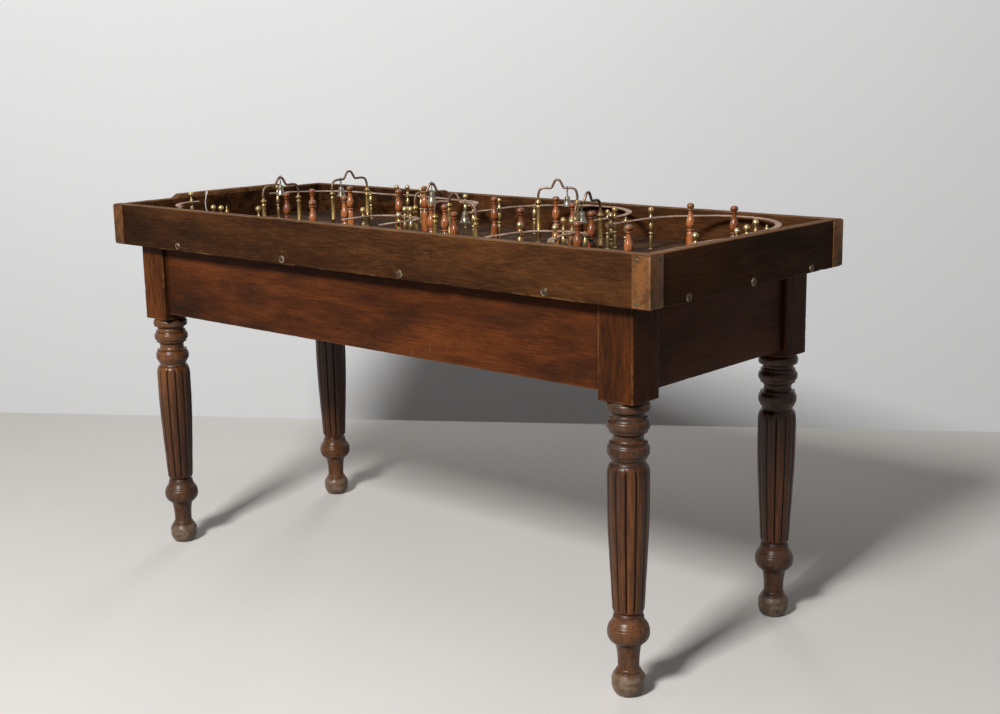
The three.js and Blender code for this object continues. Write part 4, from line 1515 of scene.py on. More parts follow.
    def add_straps(self) -> None:
        """Puts a strap and its four screws on each corner."""
        copper = OldMetal("strap_copper", (148, 94, 45), (92, 57, 28), (84, 78, 54), patina_from=0.6,
                          cloud_scale=22, speck_scale=260, metallic=0.35, roughness=0.4,
                          wear=self.rubbed_corner).material()
        brass = OldMetal("screw_brass", (116, 94, 62), (78, 58, 38), (122, 130, 110), patina_from=0.54,
                         cloud_scale=30, metallic=0.5, roughness=0.38).material()
        strap = self.strap()
        screw = self.screw()
        height = self.wall_height - 2 * self.strap_margin * MM
        screws = []
        for index, share in enumerate(self.screw_shares):
            for facing, turn in ((0, Matrix.Rotation(math.pi / 2, 4, "Y")),
                                 (1, Matrix.Rotation(-math.pi / 2, 4, "X"))):
                place = Vector((-self.strap_leg, -self.strap_leg, 0)) * self.screw_reach_share * MM
                place[facing] = self.strap_thickness * MM
                place.z = share * height
                spin = Matrix.Rotation(0.5 + index * 1.3 + facing * 2.1, 4, "Z")
                screws.append(placed_copy(screw, "screw", Matrix.Translation(place) @ turn @ spin))
        screw_set = joined("screws", screws)
        corners = {(1, 1): 0, (-1, 1): 1, (-1, -1): 2, (1, -1): 3}
        for (side_x, side_y), quarter in corners.items():
            corner = f"{'front' if side_y < 0 else 'back'}_{'left' if side_x < 0 else 'right'}"
            matrix = Matrix.Translation((side_x * self.length / 2, side_y * self.width / 2,
                                         self.bottom + self.strap_margin * MM))
            matrix = matrix @ Matrix.Rotation(math.pi / 2 * quarter, 4, "Z")
            finish_piece(smooth(placed_copy(strap, f"strap_{corner}", matrix)), copper,
                         nodes=[f"corner_strap_{corner}"])
            finish_piece(smooth(placed_copy(screw_set, f"strap_screws_{corner}", matrix)), brass)
        discard(strap, screw, screw_set)

    def add_eye(self) -> None:
        """Makes the brass eye that the cord is tied to, with its plate."""
        low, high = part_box("string_eye")
        brass = OldMetal("eye_brass", (160, 138, 84), (110, 92, 54), (110, 116, 84), cloud_scale=200,
                         metallic=0.8).material()
        plate = board("cord_eye", low, (low.x + self.eye_plate * MM, high.y, high.z),
                      self.eye_rounding)
        middle = Vector(((low.x + high.x) / 2 + self.eye_offset * MM, (low.y + high.y) / 2,
                         (low.z + high.z) / 2))
        points = [middle + Vector((math.cos(turn), 0, math.sin(turn))) * self.eye_radius * MM
                  for turn in angles(self.eye_steps)]
        ring = sweep("eye_ring", points, round_section(self.eye_wire * MM, 12))
        finish_piece(joined("cord_eye", [plate, ring]), brass, nodes=["string_eye"])


# The base


@dataclass
class Base:
    """Four turned legs with their blocks, and the aprons between them.

    The reeds, the grooves between them and the necks have their heights in millimetres, as outlines do.
    """

    length: float = 1.395
    width: float = 0.557
    top: float = 0.709
    block: float = 0.075
    block_height: float = 0.171
    apron_depth: float = 0.156
    apron_thickness: float = 0.022
    apron_recess: float = 0.008
    reeds: int = 12
    reed_depth: float = 3.4
    leg_sides: int = 144
    # Lines of painted shade in the necks: each a height and a width, in millimetres.
    necks: Sequence[Point] = ((150, 4), (98, 3), (44, 3), (426, 4), (436, 2), (463, 4), (482, 3), (506, 4),
                              (519, 3))
    corner_rub: Point = (-0.005, -0.0012)
    block_foot_rub: Point = (0.001, 0.005)
    crack_share: float = 0.72
    crack_drift: float = 0.012
    crack_width: float = 0.0013
    shade_edges: Point = (0, 0.006)
    apron_foot_rub: Point = (0.0006, 0.003)
    knock_edges: Point = (0.01, 0.07)
    seam_shade_width: float = 0.022
    reeds_start: Point = (155, 163)
    reeds_end: Point = (414, 424)
    # Where the painted shade between the reeds starts and ends, in millimetres.
    grooves_start: Point = (157, 165)
    grooves_end: Point = (412, 424)
    foot_edges: Point = (0.034, 0.046)
    bulb_edges: Point = (0.149, 0.155)
    bead_edges: Point = (0.424, 0.428)
    block_rounding: float = 0.0016
    block_cuts: Sequence[int] = (6, 6, 40)
    block_edge: float = 0.004
    block_chips: tuple[float, float] = (0.0007, 0.0014)
    apron_rounding: float = 0.0012
    apron_edge: float = 0.003
    apron_chip: float = 0.0009
    long_apron_cuts: Sequence[int] = (160, 0, 4)
    end_apron_cuts: Sequence[int] = (0, 60, 4)

    def outline(self) -> Outline:
        """The half outline of a leg from the floor up to its block, in millimetres."""
        leg = Outline(19.5, 0).bow(27.5, 9, 1.6).bow(30, 24, 1.2).bow(27.5, 38, 1.6).bow(23.5, 42, 0.8)
        leg.line(22.5, 42.6).line(22.6, 46.6).bead(19.4, 50, -0.4, 4).bow(22.6, 93, -1.2, 10)
        leg.line(25.6, 95.5).line(25.9, 97).bow(36.4, 108, 1.4, 6).line(36.2, 108.8).line(37.0, 109.6)
        leg.bow(38, 118, 0.5, 5).bow(36.6, 127, 0.5, 5).line(35.8, 127.8).line(36.0, 128.6)
        leg.bow(33.4, 133.4, 0.5, 4).line(32.0, 134.2).line(31.8, 136).bow(27.6, 146, -1.0, 6)
        leg.line(26.6, 150.6).line(26.0, 151.6).line(23.4, 152.8).line(23.2, 154.2)
        leg.bow(28.5, 160.5, 0.9, 5).bow(31, 210, 0.2, 10).bow(34, 265, 0.3, 10).bow(37.5, 352, 0.5, 14)
        leg.line(37.6, 400).bow(35.6, 420, 0.8, 6).line(33.2, 424).line(31.6, 425.6)
        leg.bow(30.8, 433, -1.6, 5).line(33.6, 436.6).line(33.8, 439.4).line(35.2, 441)
        leg.bead(35.2, 458.2, 2.0, 8).line(33.6, 459.4).line(33.4, 464.2).line(28.4, 466)
        leg.bow(26.4, 472.6, -0.6, 4).bow(29.8, 480.4, -0.8, 4).line(33.6, 482).line(33.8, 485.6)
        leg.line(35, 487.2).bead(35, 502.6, 3.0, 10).line(33.6, 503.4).line(33.4, 508.6)
        leg.line(31.2, 509.4).bow(31.6, 517.6, -1.8, 5).line(36.2, 519.2).bead(36.2, 533.4, 1.9, 6)
        return leg.line(34.6, 534.2).line(34.2, 540)

    def leg(self) -> Piece:
        """Turns one leg and carves its reeds, standing at the origin."""
        leg = turned("turned_leg", self.outline(), self.leg_sides, 48)

        def carve(place: Vector) -> Vector:
            """Draws the grooves between the reeds in."""
            height = place.z / MM
            radial = Vector((place.x, place.y, 0))
            if radial.length < MM or not self.reeds_start[0] < height < self.reeds_end[1]:
                return STILL
            turn = math.atan2(place.y, place.x)
            share = smooth_step(height, *self.reeds_start) * (1 - smooth_step(height, *self.reeds_end))
            ridge = abs(math.sin(self.reeds * turn / 2))
            depth = self.reed_depth * MM * (1 - math.sqrt(1 - (1 - ridge) ** 2)) if ridge < 1 else 0
            return -radial.normalized() * depth * share

        return smooth(move_points(leg, carve), 62)

    def leg_wood(self) -> OldWood:
        """The finish of the turned legs: painted shade darkens the grooves and necks, so the ridges stand
        out bright.
        """
        return OldWood("leg_wood", Axis.HEIGHT, dark=(42, 22, 10), middle=(88, 49, 22), light=(138, 84, 41),
                       worn=(146, 126, 106), fineness=300, run=14, scratches=0.2, roughness=0.3, coat=0.06,
                       specular=0.32, wear=self.foot_wear, grime_and_shade=self.painted_groove_shade)

    def painted_groove_shade(self, shader: Shader) -> Socket:
        """Painted shade: between the reeds and in the necks between the beads."""
        side_x, side_y = shader.beyond(self.length - self.block, self.width - self.block)
        turn = shader.maths("ARCTAN2", side_y, side_x)
        ridge = shader.size(shader.maths("SINE", shader.times(turn, self.reeds / 2)))
        height = shader.maths("DIVIDE", shader.axes[2], MM)
        reeded = shader.times(shader.band(height, *self.grooves_start),
                              shader.band(height, *self.grooves_end, 1, 0))
        grooves = shader.times(shader.band(ridge, 0.12, 0.55, 0.8, 0), reeded)
        necks = [shader.times(shader.line(height, middle, width), 0.7) for middle, width in self.necks]
        return shader.most(grooves, *necks)

    def foot_wear(self, shader: Shader) -> Socket:
        """Where a foot has lost its polish, and where the beads and the bulb are dull."""
        foot = shader.band(shader.axes[2], *self.foot_edges, 1, 0)
        patches = shader.patches((45, 45, 70))
        worn = shader.times(foot, shader.band(patches, 0.4, 0.6, 0.35, 0.95))
        turnings = shader.most(shader.band(shader.axes[2], *self.bulb_edges, 1, 0),
                               shader.band(shader.axes[2], *self.bead_edges))
        turnings = shader.times(turnings, shader.band(patches, 0.35, 0.65, 0.0, 0.16))
        return shader.most(worn, turnings)

    def block_wear(self, shader: Shader) -> Socket:
        """Where a block's corners and bottom edges are rubbed light."""
        from_middle = shader.beyond(self.length - self.block, self.width - self.block)
        corner = shader.times(*(shader.above(shader.size(out), self.block / 2, self.corner_rub)
                                for out in from_middle))
        foot = shader.above(shader.axes[2], self.top - self.block_height, self.block_foot_rub, 1, 0)
        worn = shader.band(shader.patches((60, 60, 30)), 0.4, 0.6, 0.05, 0.6)
        return shader.times(shader.most(corner, foot), worn)

    def block_cracks_and_shade(self, shader: Shader) -> Socket:
        """A dark crack down each block, and painted shade beside its apron."""
        out = shader.minus(shader.size(shader.axes[0]), self.length / 2)
        drift = shader.times(shader.noise(shader.mapped((3, 3, 14)), detail=3), self.crack_drift)
        crack = shader.line(shader.minus(out, drift), -self.block * self.crack_share, self.crack_width)
        # Painted shade on the block where it meets its apron.
        shade = shader.above(out, -self.block, self.shade_edges, 0.5, 0)
        return shader.most(shader.times(crack, 0.8), shade)

    def apron_wear(self, shader: Shader) -> Socket:
        """Where an apron's bottom edge is rubbed light."""
        bottom = self.top - self.apron_depth
        foot = shader.above(shader.axes[2], bottom, self.apron_foot_rub, 1, 0)
        foot = shader.times(foot, shader.band(shader.patches((24, 24, 60)), 0.4, 0.6, 0.1, 0.7))
        knocks = shader.band(shader.noise(shader.mapped((150, 150, 22)), detail=2), 0.68, 0.74, 0, 0.45)
        low = shader.above(shader.axes[2], bottom, self.knock_edges, 1, 0)
        return shader.most(foot, shader.times(knocks, low))

    def apron_grime_and_shade(self, shader: Shader) -> Socket:
        """Where an apron is dark: painted shade beside the blocks, and grime in broad clouds."""
        # Painted shade where an apron meets a block.
        seams = shader.most(*(shader.line(out, -self.block, self.seam_shade_width)
                              for out in shader.beyond(self.length, self.width)))
        clouds = shader.noise(shader.mapped((5, 7, 13)), detail=4)
        return shader.most(shader.times(seams, 0.6), shader.band(clouds, 0.48, 0.66, 0, 0.5))

    def build(self) -> None:
        """Makes the whole base."""
        block_wood = OldWood("block_wood", Axis.HEIGHT, dark=(42, 20, 6), middle=(82, 42, 14),
                             light=(124, 68, 27), worn=(142, 96, 56), fineness=200, run=22, scratches=0.45,
                             roughness=0.46, wear=self.block_wear, grime_and_shade=self.block_cracks_and_shade).material()
        leg_wood = self.leg_wood().material()
        leg = self.leg()
        for side_y, row in ROWS:
            for side_x, end in ENDS:
                x = side_x * (self.length - self.block) / 2
                y = side_y * (self.width - self.block) / 2
                copy = placed_copy(leg, f"turned_leg_{row}_{end}", Matrix.Translation((x, y, 0)))
                finish_piece(copy, leg_wood, nodes=[f"leg_{row}_{end}"])
                finish_piece(self.leg_block(f"leg_block_{row}_{end}", x, y), block_wood)
        discard(leg)
        self.add_aprons()

    def leg_block(self, name: str, x: float, y: float) -> Piece:
        """Makes the square block on top of a leg.

        Args:
            name: the block's name.
            x: the leg's place along the tray.
            y: the leg's place across it.

        Returns:
            The block.
        """
        half = self.block / 2
        bottom = self.top - self.block_height
        block = board(name, (x - half, y - half, bottom), (x + half, y + half, self.top),
                      self.block_rounding, self.block_cuts)

        def wear(place: Vector) -> Vector:
            """Chips the upright edges and the bottom edges, most of all where they meet."""
            inwards = Vector((x - place.x, y - place.y, 0))
            near = min(abs(inwards.x), abs(inwards.y)) > half - self.block_edge
            low = place.z < bottom + self.block_edge
            if not (near or low):
                return STILL
            chip = noise.noise(place * 60 + Vector((x, y, 0)) * 9) + 0.4 * noise.noise(place * 190)
            depth = max(chip, 0) * self.block_chips[near and low]
            return inwards.normalized() * depth + UP * (depth if low else 0)

        return move_points(block, wear)

    def add_aprons(self) -> None:
        """Sets the four aprons between the blocks, a little behind their faces."""
        bottom = self.top - self.apron_depth
        half_length = self.length / 2 - self.block
        half_width = self.width / 2 - self.block
        outer_y = self.width / 2 - self.apron_recess
        outer_x = self.length / 2 - self.apron_recess

        def wear(place: Vector) -> Vector:
            """Chips the bottom edge."""
            if place.z > bottom + self.apron_edge:
                return STILL
            return UP * max(noise.noise(Vector(((place.x + place.y) * 30, 4, 6))), 0) * self.apron_chip

        for grain, sides in ((Axis.LENGTH, ROWS), (Axis.WIDTH, ENDS)):
            # Painted light: the aprons get paler towards +X.
            wood = OldWood(f"apron_wood_{grain.name.lower()}", grain, dark=(48, 22, 7), middle=(82, 40, 15),
                           light=(118, 62, 26), worn=(132, 88, 54), fineness=340, run=15, scratches=0.35,
                           roughness=0.48, painted_light=0.07, wear=self.apron_wear,
                           grime_and_shade=self.apron_grime_and_shade).material()
            for side, name in sides:
                if grain is Axis.LENGTH:
                    y = sorted((side * outer_y, side * (outer_y - self.apron_thickness)))
                    low, high = (-half_length, y[0], bottom), (half_length, y[1], self.top)
                    cuts = self.long_apron_cuts
                else:
                    x = sorted((side * outer_x, side * (outer_x - self.apron_thickness)))
                    low, high = (x[0], -half_width, bottom), (x[1], half_width, self.top)
                    cuts = self.end_apron_cuts
                apron = board(f"{name}_apron", low, high, self.apron_rounding, cuts)
                finish_piece(move_points(apron, wear), wood, nodes=[f"apron_{name}"])


# Rails


class Head(Enum):
    """What a rail post ends in, over the band."""

    BALL = "ball"
    KNOB = "knob"
    MUSHROOM = "mushroom"
    CONE = "cone"
    STUB = "stub"


@dataclass(frozen=True)
class Post:
    """A post under a rail: its share of the rail's length, its head, and how much higher that is in mm."""

    share: float
    head: Head
    lift: float = 0.0


@dataclass(frozen=True)
class Rail:
    """One rail: a straight leg, a clockwise arc and a straight leg, as shares of the half playfield.

    The arc starts and ends at angles in degrees. The band may lie lower by a drop in metres, or sag by
    millimetres at shares of its length.
    """

    name: str
    centre_shares: Point
    radius_shares: Point
    start: float
    end: float
    leg_shares: Point
    posts: Sequence[Post]
    drop: float = 0.0
    sags: Sequence[tuple[float, float]] = ((0, 0), (1, 0))

    def sag(self, share: float) -> float:
        """How far the band lies over its level, in metres, at a share of its length."""
        for (low, before), (high, after) in zip(self.sags, self.sags[1:]):
            if share <= high:
                return (before + (after - before) * smooth_step(share, low, high)) * MM
        return self.sags[-1][1] * MM


@dataclass
class RailLine:
    """The line of a rail in metres."""

    rail: Rail
    height: float

    def on_arc(self, share: float) -> Vector:
        """The place on the arc at a share of its angle."""
        turn = math.radians(self.rail.start + (self.rail.end - self.rail.start) * share)
        x, y = PLAYFIELD.reach(self.rail.centre_shares)
        reach_x, reach_y = PLAYFIELD.reach(self.rail.radius_shares)
        return Vector((x + reach_x * math.cos(turn), y + reach_y * math.sin(turn), self.height))

    def heading(self, share: float) -> Vector:
        """The way that the arc goes at a share of its angle."""
        turn = math.radians(self.rail.start + (self.rail.end - self.rail.start) * share)
        reach_x, reach_y = PLAYFIELD.reach(self.rail.radius_shares)
        return Vector((reach_x * math.sin(turn), -reach_y * math.cos(turn), 0)).normalized()

    def points(self, step: float = 0.005) -> list[Vector]:
        """The whole line as evenly spaced points.

        Args:
            step: the distance between two points.

        Returns:
            The places from one end to the other.
        """
        legs = [share * PLAYFIELD.half_length for share in self.rail.leg_shares]
        rough: list[Vector] = []
        if legs[0]:
            rough.append(self.on_arc(0) - self.heading(0) * legs[0])
        rough += [self.on_arc(index / ARC_STEPS) for index in range(ARC_STEPS + 1)]
        if legs[1]:
            rough.append(self.on_arc(1) + self.heading(1) * legs[1])
        runs = [0.0]
        for before, after in zip(rough, rough[1:]):
            runs.append(runs[-1] + (after - before).length)
        count = math.ceil(runs[-1] / step)
        even = []
        index = 0
        for number in range(count + 1):
            run = runs[-1] * number / count
            while index < len(runs) - 2 and runs[index + 1] < run:
                index += 1
            share = (run - runs[index]) / (runs[index + 1] - runs[index])
            even.append(rough[index].lerp(rough[index + 1], min(share, 1)))
        return even


RAILS = (
    Rail("rail_corner_left", (-0.795, -0.528), (0.118, 0.303), 255, 172, (0, 0),
         (Post(0.835, Head.MUSHROOM, 4.6), Post(0.03, Head.STUB, -2.2))),
    Rail("rail_left_ring", (-0.699, 0.194), (0.219, 0.563), 172, 90, (0, 0.2),
         (Post(0.055, Head.KNOB), Post(0.992, Head.BALL, 5), Post(0.277, Head.STUB, -2.2),
          Post(0.743, Head.STUB, -2.2))),
    Rail("rail_back", (-0.192, 0.405), (0.121, 0.31), 83, 10, (0.313, 0),
         (Post(0.025, Head.BALL, 4.7), Post(0.18, Head.KNOB), Post(0.645, Head.MUSHROOM, -4.5),
          Post(0.92, Head.STUB, -2.2))),
    Rail("rail_front_left", (-0.35, -1.065), (0.055, 0.141), 90, 80, (0.262, 0),
         (Post(0.017, Head.BALL), Post(0.15, Head.BALL), Post(0.26, Head.CONE), Post(0.81, Head.BALL, 6)),
         drop=0.004),
    Rail("rail_front_loop", (0.0134, -0.62), (0.0905, 0.18), 180, 0, (0.082, 0.11),
         (Post(0.169, Head.BALL), Post(0.457, Head.BALL), Post(0.523, Head.BALL, 1.5),
          Post(0.853, Head.BALL)), drop=-0.005),
    Rail("rail_middle_ring", (0.2698, 0.405), (0.2108, 0.563), 180, 0, (0.117, 0.082),
         (Post(0.012, Head.BALL), Post(0.144, Head.KNOB, 3), Post(0.887, Head.BALL, 2),
          Post(0.927, Head.KNOB, -1.5), Post(0.285, Head.STUB, -2.2), Post(0.427, Head.STUB, -2.2))),
    Rail("rail_front_arc", (0.603, -0.722), (0.121, 0.31), 180, 62, (0.069, 0),
         (Post(0.37, Head.BALL), Post(0.727, Head.BALL, 6.5), Post(0.799, Head.BALL, 6),
          Post(0.07, Head.STUB, -2.2), Post(0.96, Head.STUB, -2.2)), sags=((0, 0), (0.7, 1.6), (1, 1.6))),
    Rail("rail_front_spur", (0.7676, -0.4225), (0.1576, 0.528), 235, 184, (0, 0),
         (Post(0.482, Head.BALL, 4.5), Post(0.1, Head.STUB, -2.2), Post(0.9, Head.STUB, -2.2))),
    Rail("rail_right_ring", (0.7677, 0.423), (0.195, 0.518), 180, 0, (0.144, 0.323),
         (Post(0.013, Head.BALL, 3.4), Post(0.166, Head.BALL, 2.8), Post(0.749, Head.BALL, 5.5),
          Post(0.789, Head.BALL, -0.8), Post(0.822, Head.BALL, -2.5), Post(0.987, Head.BALL),
          Post(0.0665, Head.STUB, 4), Post(0.703, Head.STUB, 5)),
         sags=((0, 0), (0.5, 0), (0.75, -3), (0.83, -4.5), (1, -2))),
)


@dataclass
class RailSet:
    """The iron rails on their turned brass posts, in millimetres but for where the waves start."""

    underside: float = 60.0
    thickness: float = 2.2
    width: float = 12.0
    edge: float = 0.5
    wave: float = 0.35
    wave_starts: tuple[float, float] = (0.006, 0.03)
    neck: float = 5.0
    lean: float = 0.018
    post_sides: int = 24

    def post_outline(self, head: Head) -> Outline:
        """The half outline of a post, in millimetres from the playfield."""
        post = Outline(3.8, 0).line(3.8, 0.8).line(2.7, 2.2).bow(3.6, 22, 0.3, 6).bow(2.6, 27, 0.2, 3)
        post.line(2.6, 28.6).bead(2.6, 33.6, 1.7, 6).line(2.5, 35).bow(4.7, 44, 0.7, 6)
        post.bow(2.1, 53.6, 0.5, 6).line(2.1, 54.4).line(4.5, 56.2).line(4.6, 58.6).bow(3.6, 59.9, 0.2, 2)
        over = self.underside + self.thickness
        post.line(2.0, 60.2).line(2.0, over - 0.1).line(3.5, over + 0.1).line(3.6, over + 1.2)
        post.line(2.9, over + 2.0)
        if head is Head.STUB:
            return post.line(2.0, over + 2.4).line(2.0, 66.2).bow(0.6, 67, 0.2, 2)
        if head is Head.BALL:
            return post.bow(2.1, over + 6.2, -0.4, 4).bead(0.2, 80.5, 4.6, 14)
        if head is Head.KNOB:
            return post.bow(1.7, over + 8.6, -0.5, 4).bead(0.2, 80.5, 3.4, 12)
        if head is Head.MUSHROOM:
            post.bow(2.2, over + 9.4, -0.6, 4).line(5.8, over + 10.6)
            return post.bow(6.1, over + 12.4, 0.3, 3).bow(0.2, 80.5, 2.4, 8)
        return post.line(2.1, over + 4).line(4.6, over + 5.4).bow(1.2, 78, -1.0, 6).bead(0.2, 80.5, 0.8, 5)

    def build(self) -> None:
        """Makes every rail with its band, its posts and the bosses on the band."""
        iron = OldMetal("rail_iron", (202, 168, 145), (153, 118, 98), (112, 92, 74), cloud_scale=45,
                        speck_scale=400, metallic=0.3, roughness=0.42).material()
        brass = OldMetal("post_brass", (224, 202, 148), (168, 138, 90), (122, 104, 72), cloud_scale=110,
                         speck_scale=700, metallic=0.85, roughness=0.24).material()
        heads = {head: turned(f"post_{head.value}", self.post_outline(head), self.post_sides)
                 for head in Head}
        for rail in RAILS:
            self.add_rail(rail, heads, iron, brass)
        discard(*heads.values())

    def add_rail(self, rail: Rail, heads: dict[Head, Piece], iron: bpy.types.Material,
                 brass: bpy.types.Material) -> None:
        """Makes one rail.

        Args:
            rail: its line and posts.
            heads: a finished post for each kind of head.
            iron: the band's material.
            brass: the posts' material.
        """
        height = PLAYFIELD.top + (self.underside + self.thickness / 2) * MM - rail.drop
        line = RailLine(rail, height).points()
        half = self.thickness / 2 * MM
        wide = self.width / 2 * MM
        edge = self.edge * MM
        section = [(-wide, -half + edge), (-wide + edge, -half), (wide - edge, -half), (wide, -half + edge),
                   (wide, half - edge), (wide - edge, half), (-wide + edge, half), (-wide, half - edge)]
        band = sweep(f"{rail.name}_band", line, section, upright=True)
        places = [line[round(post.share * (len(line) - 1))] for post in rail.posts]

        def wavy(place: Vector) -> Vector:
            """Bends the band a little up and down between its posts, and lets it sag."""
            free = min((place.xy - at.xy).length for at in places)
            nearest = min(range(len(line)), key=lambda index: (line[index].xy - place.xy).length_squared)
            lift = noise.noise(Vector((place.x * 16, place.y * 16, len(rail.name))))
            wave = 2 * lift * self.wave * MM * smooth_step(free, *self.wave_starts)
            return UP * (wave + rail.sag(nearest / (len(line) - 1)))

        finish_piece(move_points(band, wavy), iron, nodes=[rail.name])
        copies = [self.placed_post(heads[post.head], at, rail.sag(post.share) - rail.drop, post.lift)
                  for at, post in zip(places, rail.posts)]
        finish_piece(smooth(joined(f"{rail.name}_posts", copies)), brass)

    def placed_post(self, source: Piece, at: Vector, rise: float, lift: float) -> Piece:
        """Stands a post under its band, with its shaft and its neck drawn out to their heights.

        Args:
            source: a finished post of the usual height.
            at: its place on the rail's line.
            rise: how far the band lies over its usual height, in metres.
            lift: how much longer the post's neck is over the band, in millimetres.

        Returns:
            The post.
        """
        under = self.underside * MM
        over = under + self.thickness * MM
        post = placed_copy(source, "post", Matrix())

        def stretch(place: Vector) -> Vector:
            """Draws the shaft and the neck out."""
            neck = min(max((place.z - over) / (self.neck * MM), 0), 1)
            return UP * (rise * min(place.z / under, 1) + lift * MM * neck)

        move_points(post, stretch)
        lean = Matrix.Rotation(self.lean * math.sin(at.x * 91 + at.y * 57), 4, (1, 0, 0))
        post.data.transform(Matrix.Translation((at.x, at.y, PLAYFIELD.top)) @ lean)
        return post


# Arches and bells


@dataclass(frozen=True)
class Arch:
    """Where an arch stands, as shares of the half playfield, and where its bell hangs on the wire."""

    left_shares: Point
    right_shares: Point
    hang_share: float


ARCHES = (
    Arch((-0.488, -0.683), (-0.498, -0.317), 0),
    Arch((-0.482, -0.004), (-0.482, 0.366), -0.5),
    Arch((0.034, -0.394), (0.069, -0.141), 0),
    Arch((0.24, -0.732), (0.371, -0.694), 0.5),
    Arch((0.234, 0.352), (0.328, 0.5), 0.5),
    Arch((0.592, -0.352), (0.58, -0.053), -0.5),
)
ARCH_OUTLINE_SHARES = (
    (-1, -0.1), (-1, 0.3), (-0.9, 0.54), (-0.7, 0.61), (-0.5, 0.61), (-0.32, 0.63), (-0.2, 0.82),
    (-0.09, 0.97), (0.09, 0.97), (0.2, 0.82), (0.32, 0.63), (0.5, 0.61), (0.7, 0.61), (0.9, 0.54),
    (1, 0.3), (1, -0.1),
)


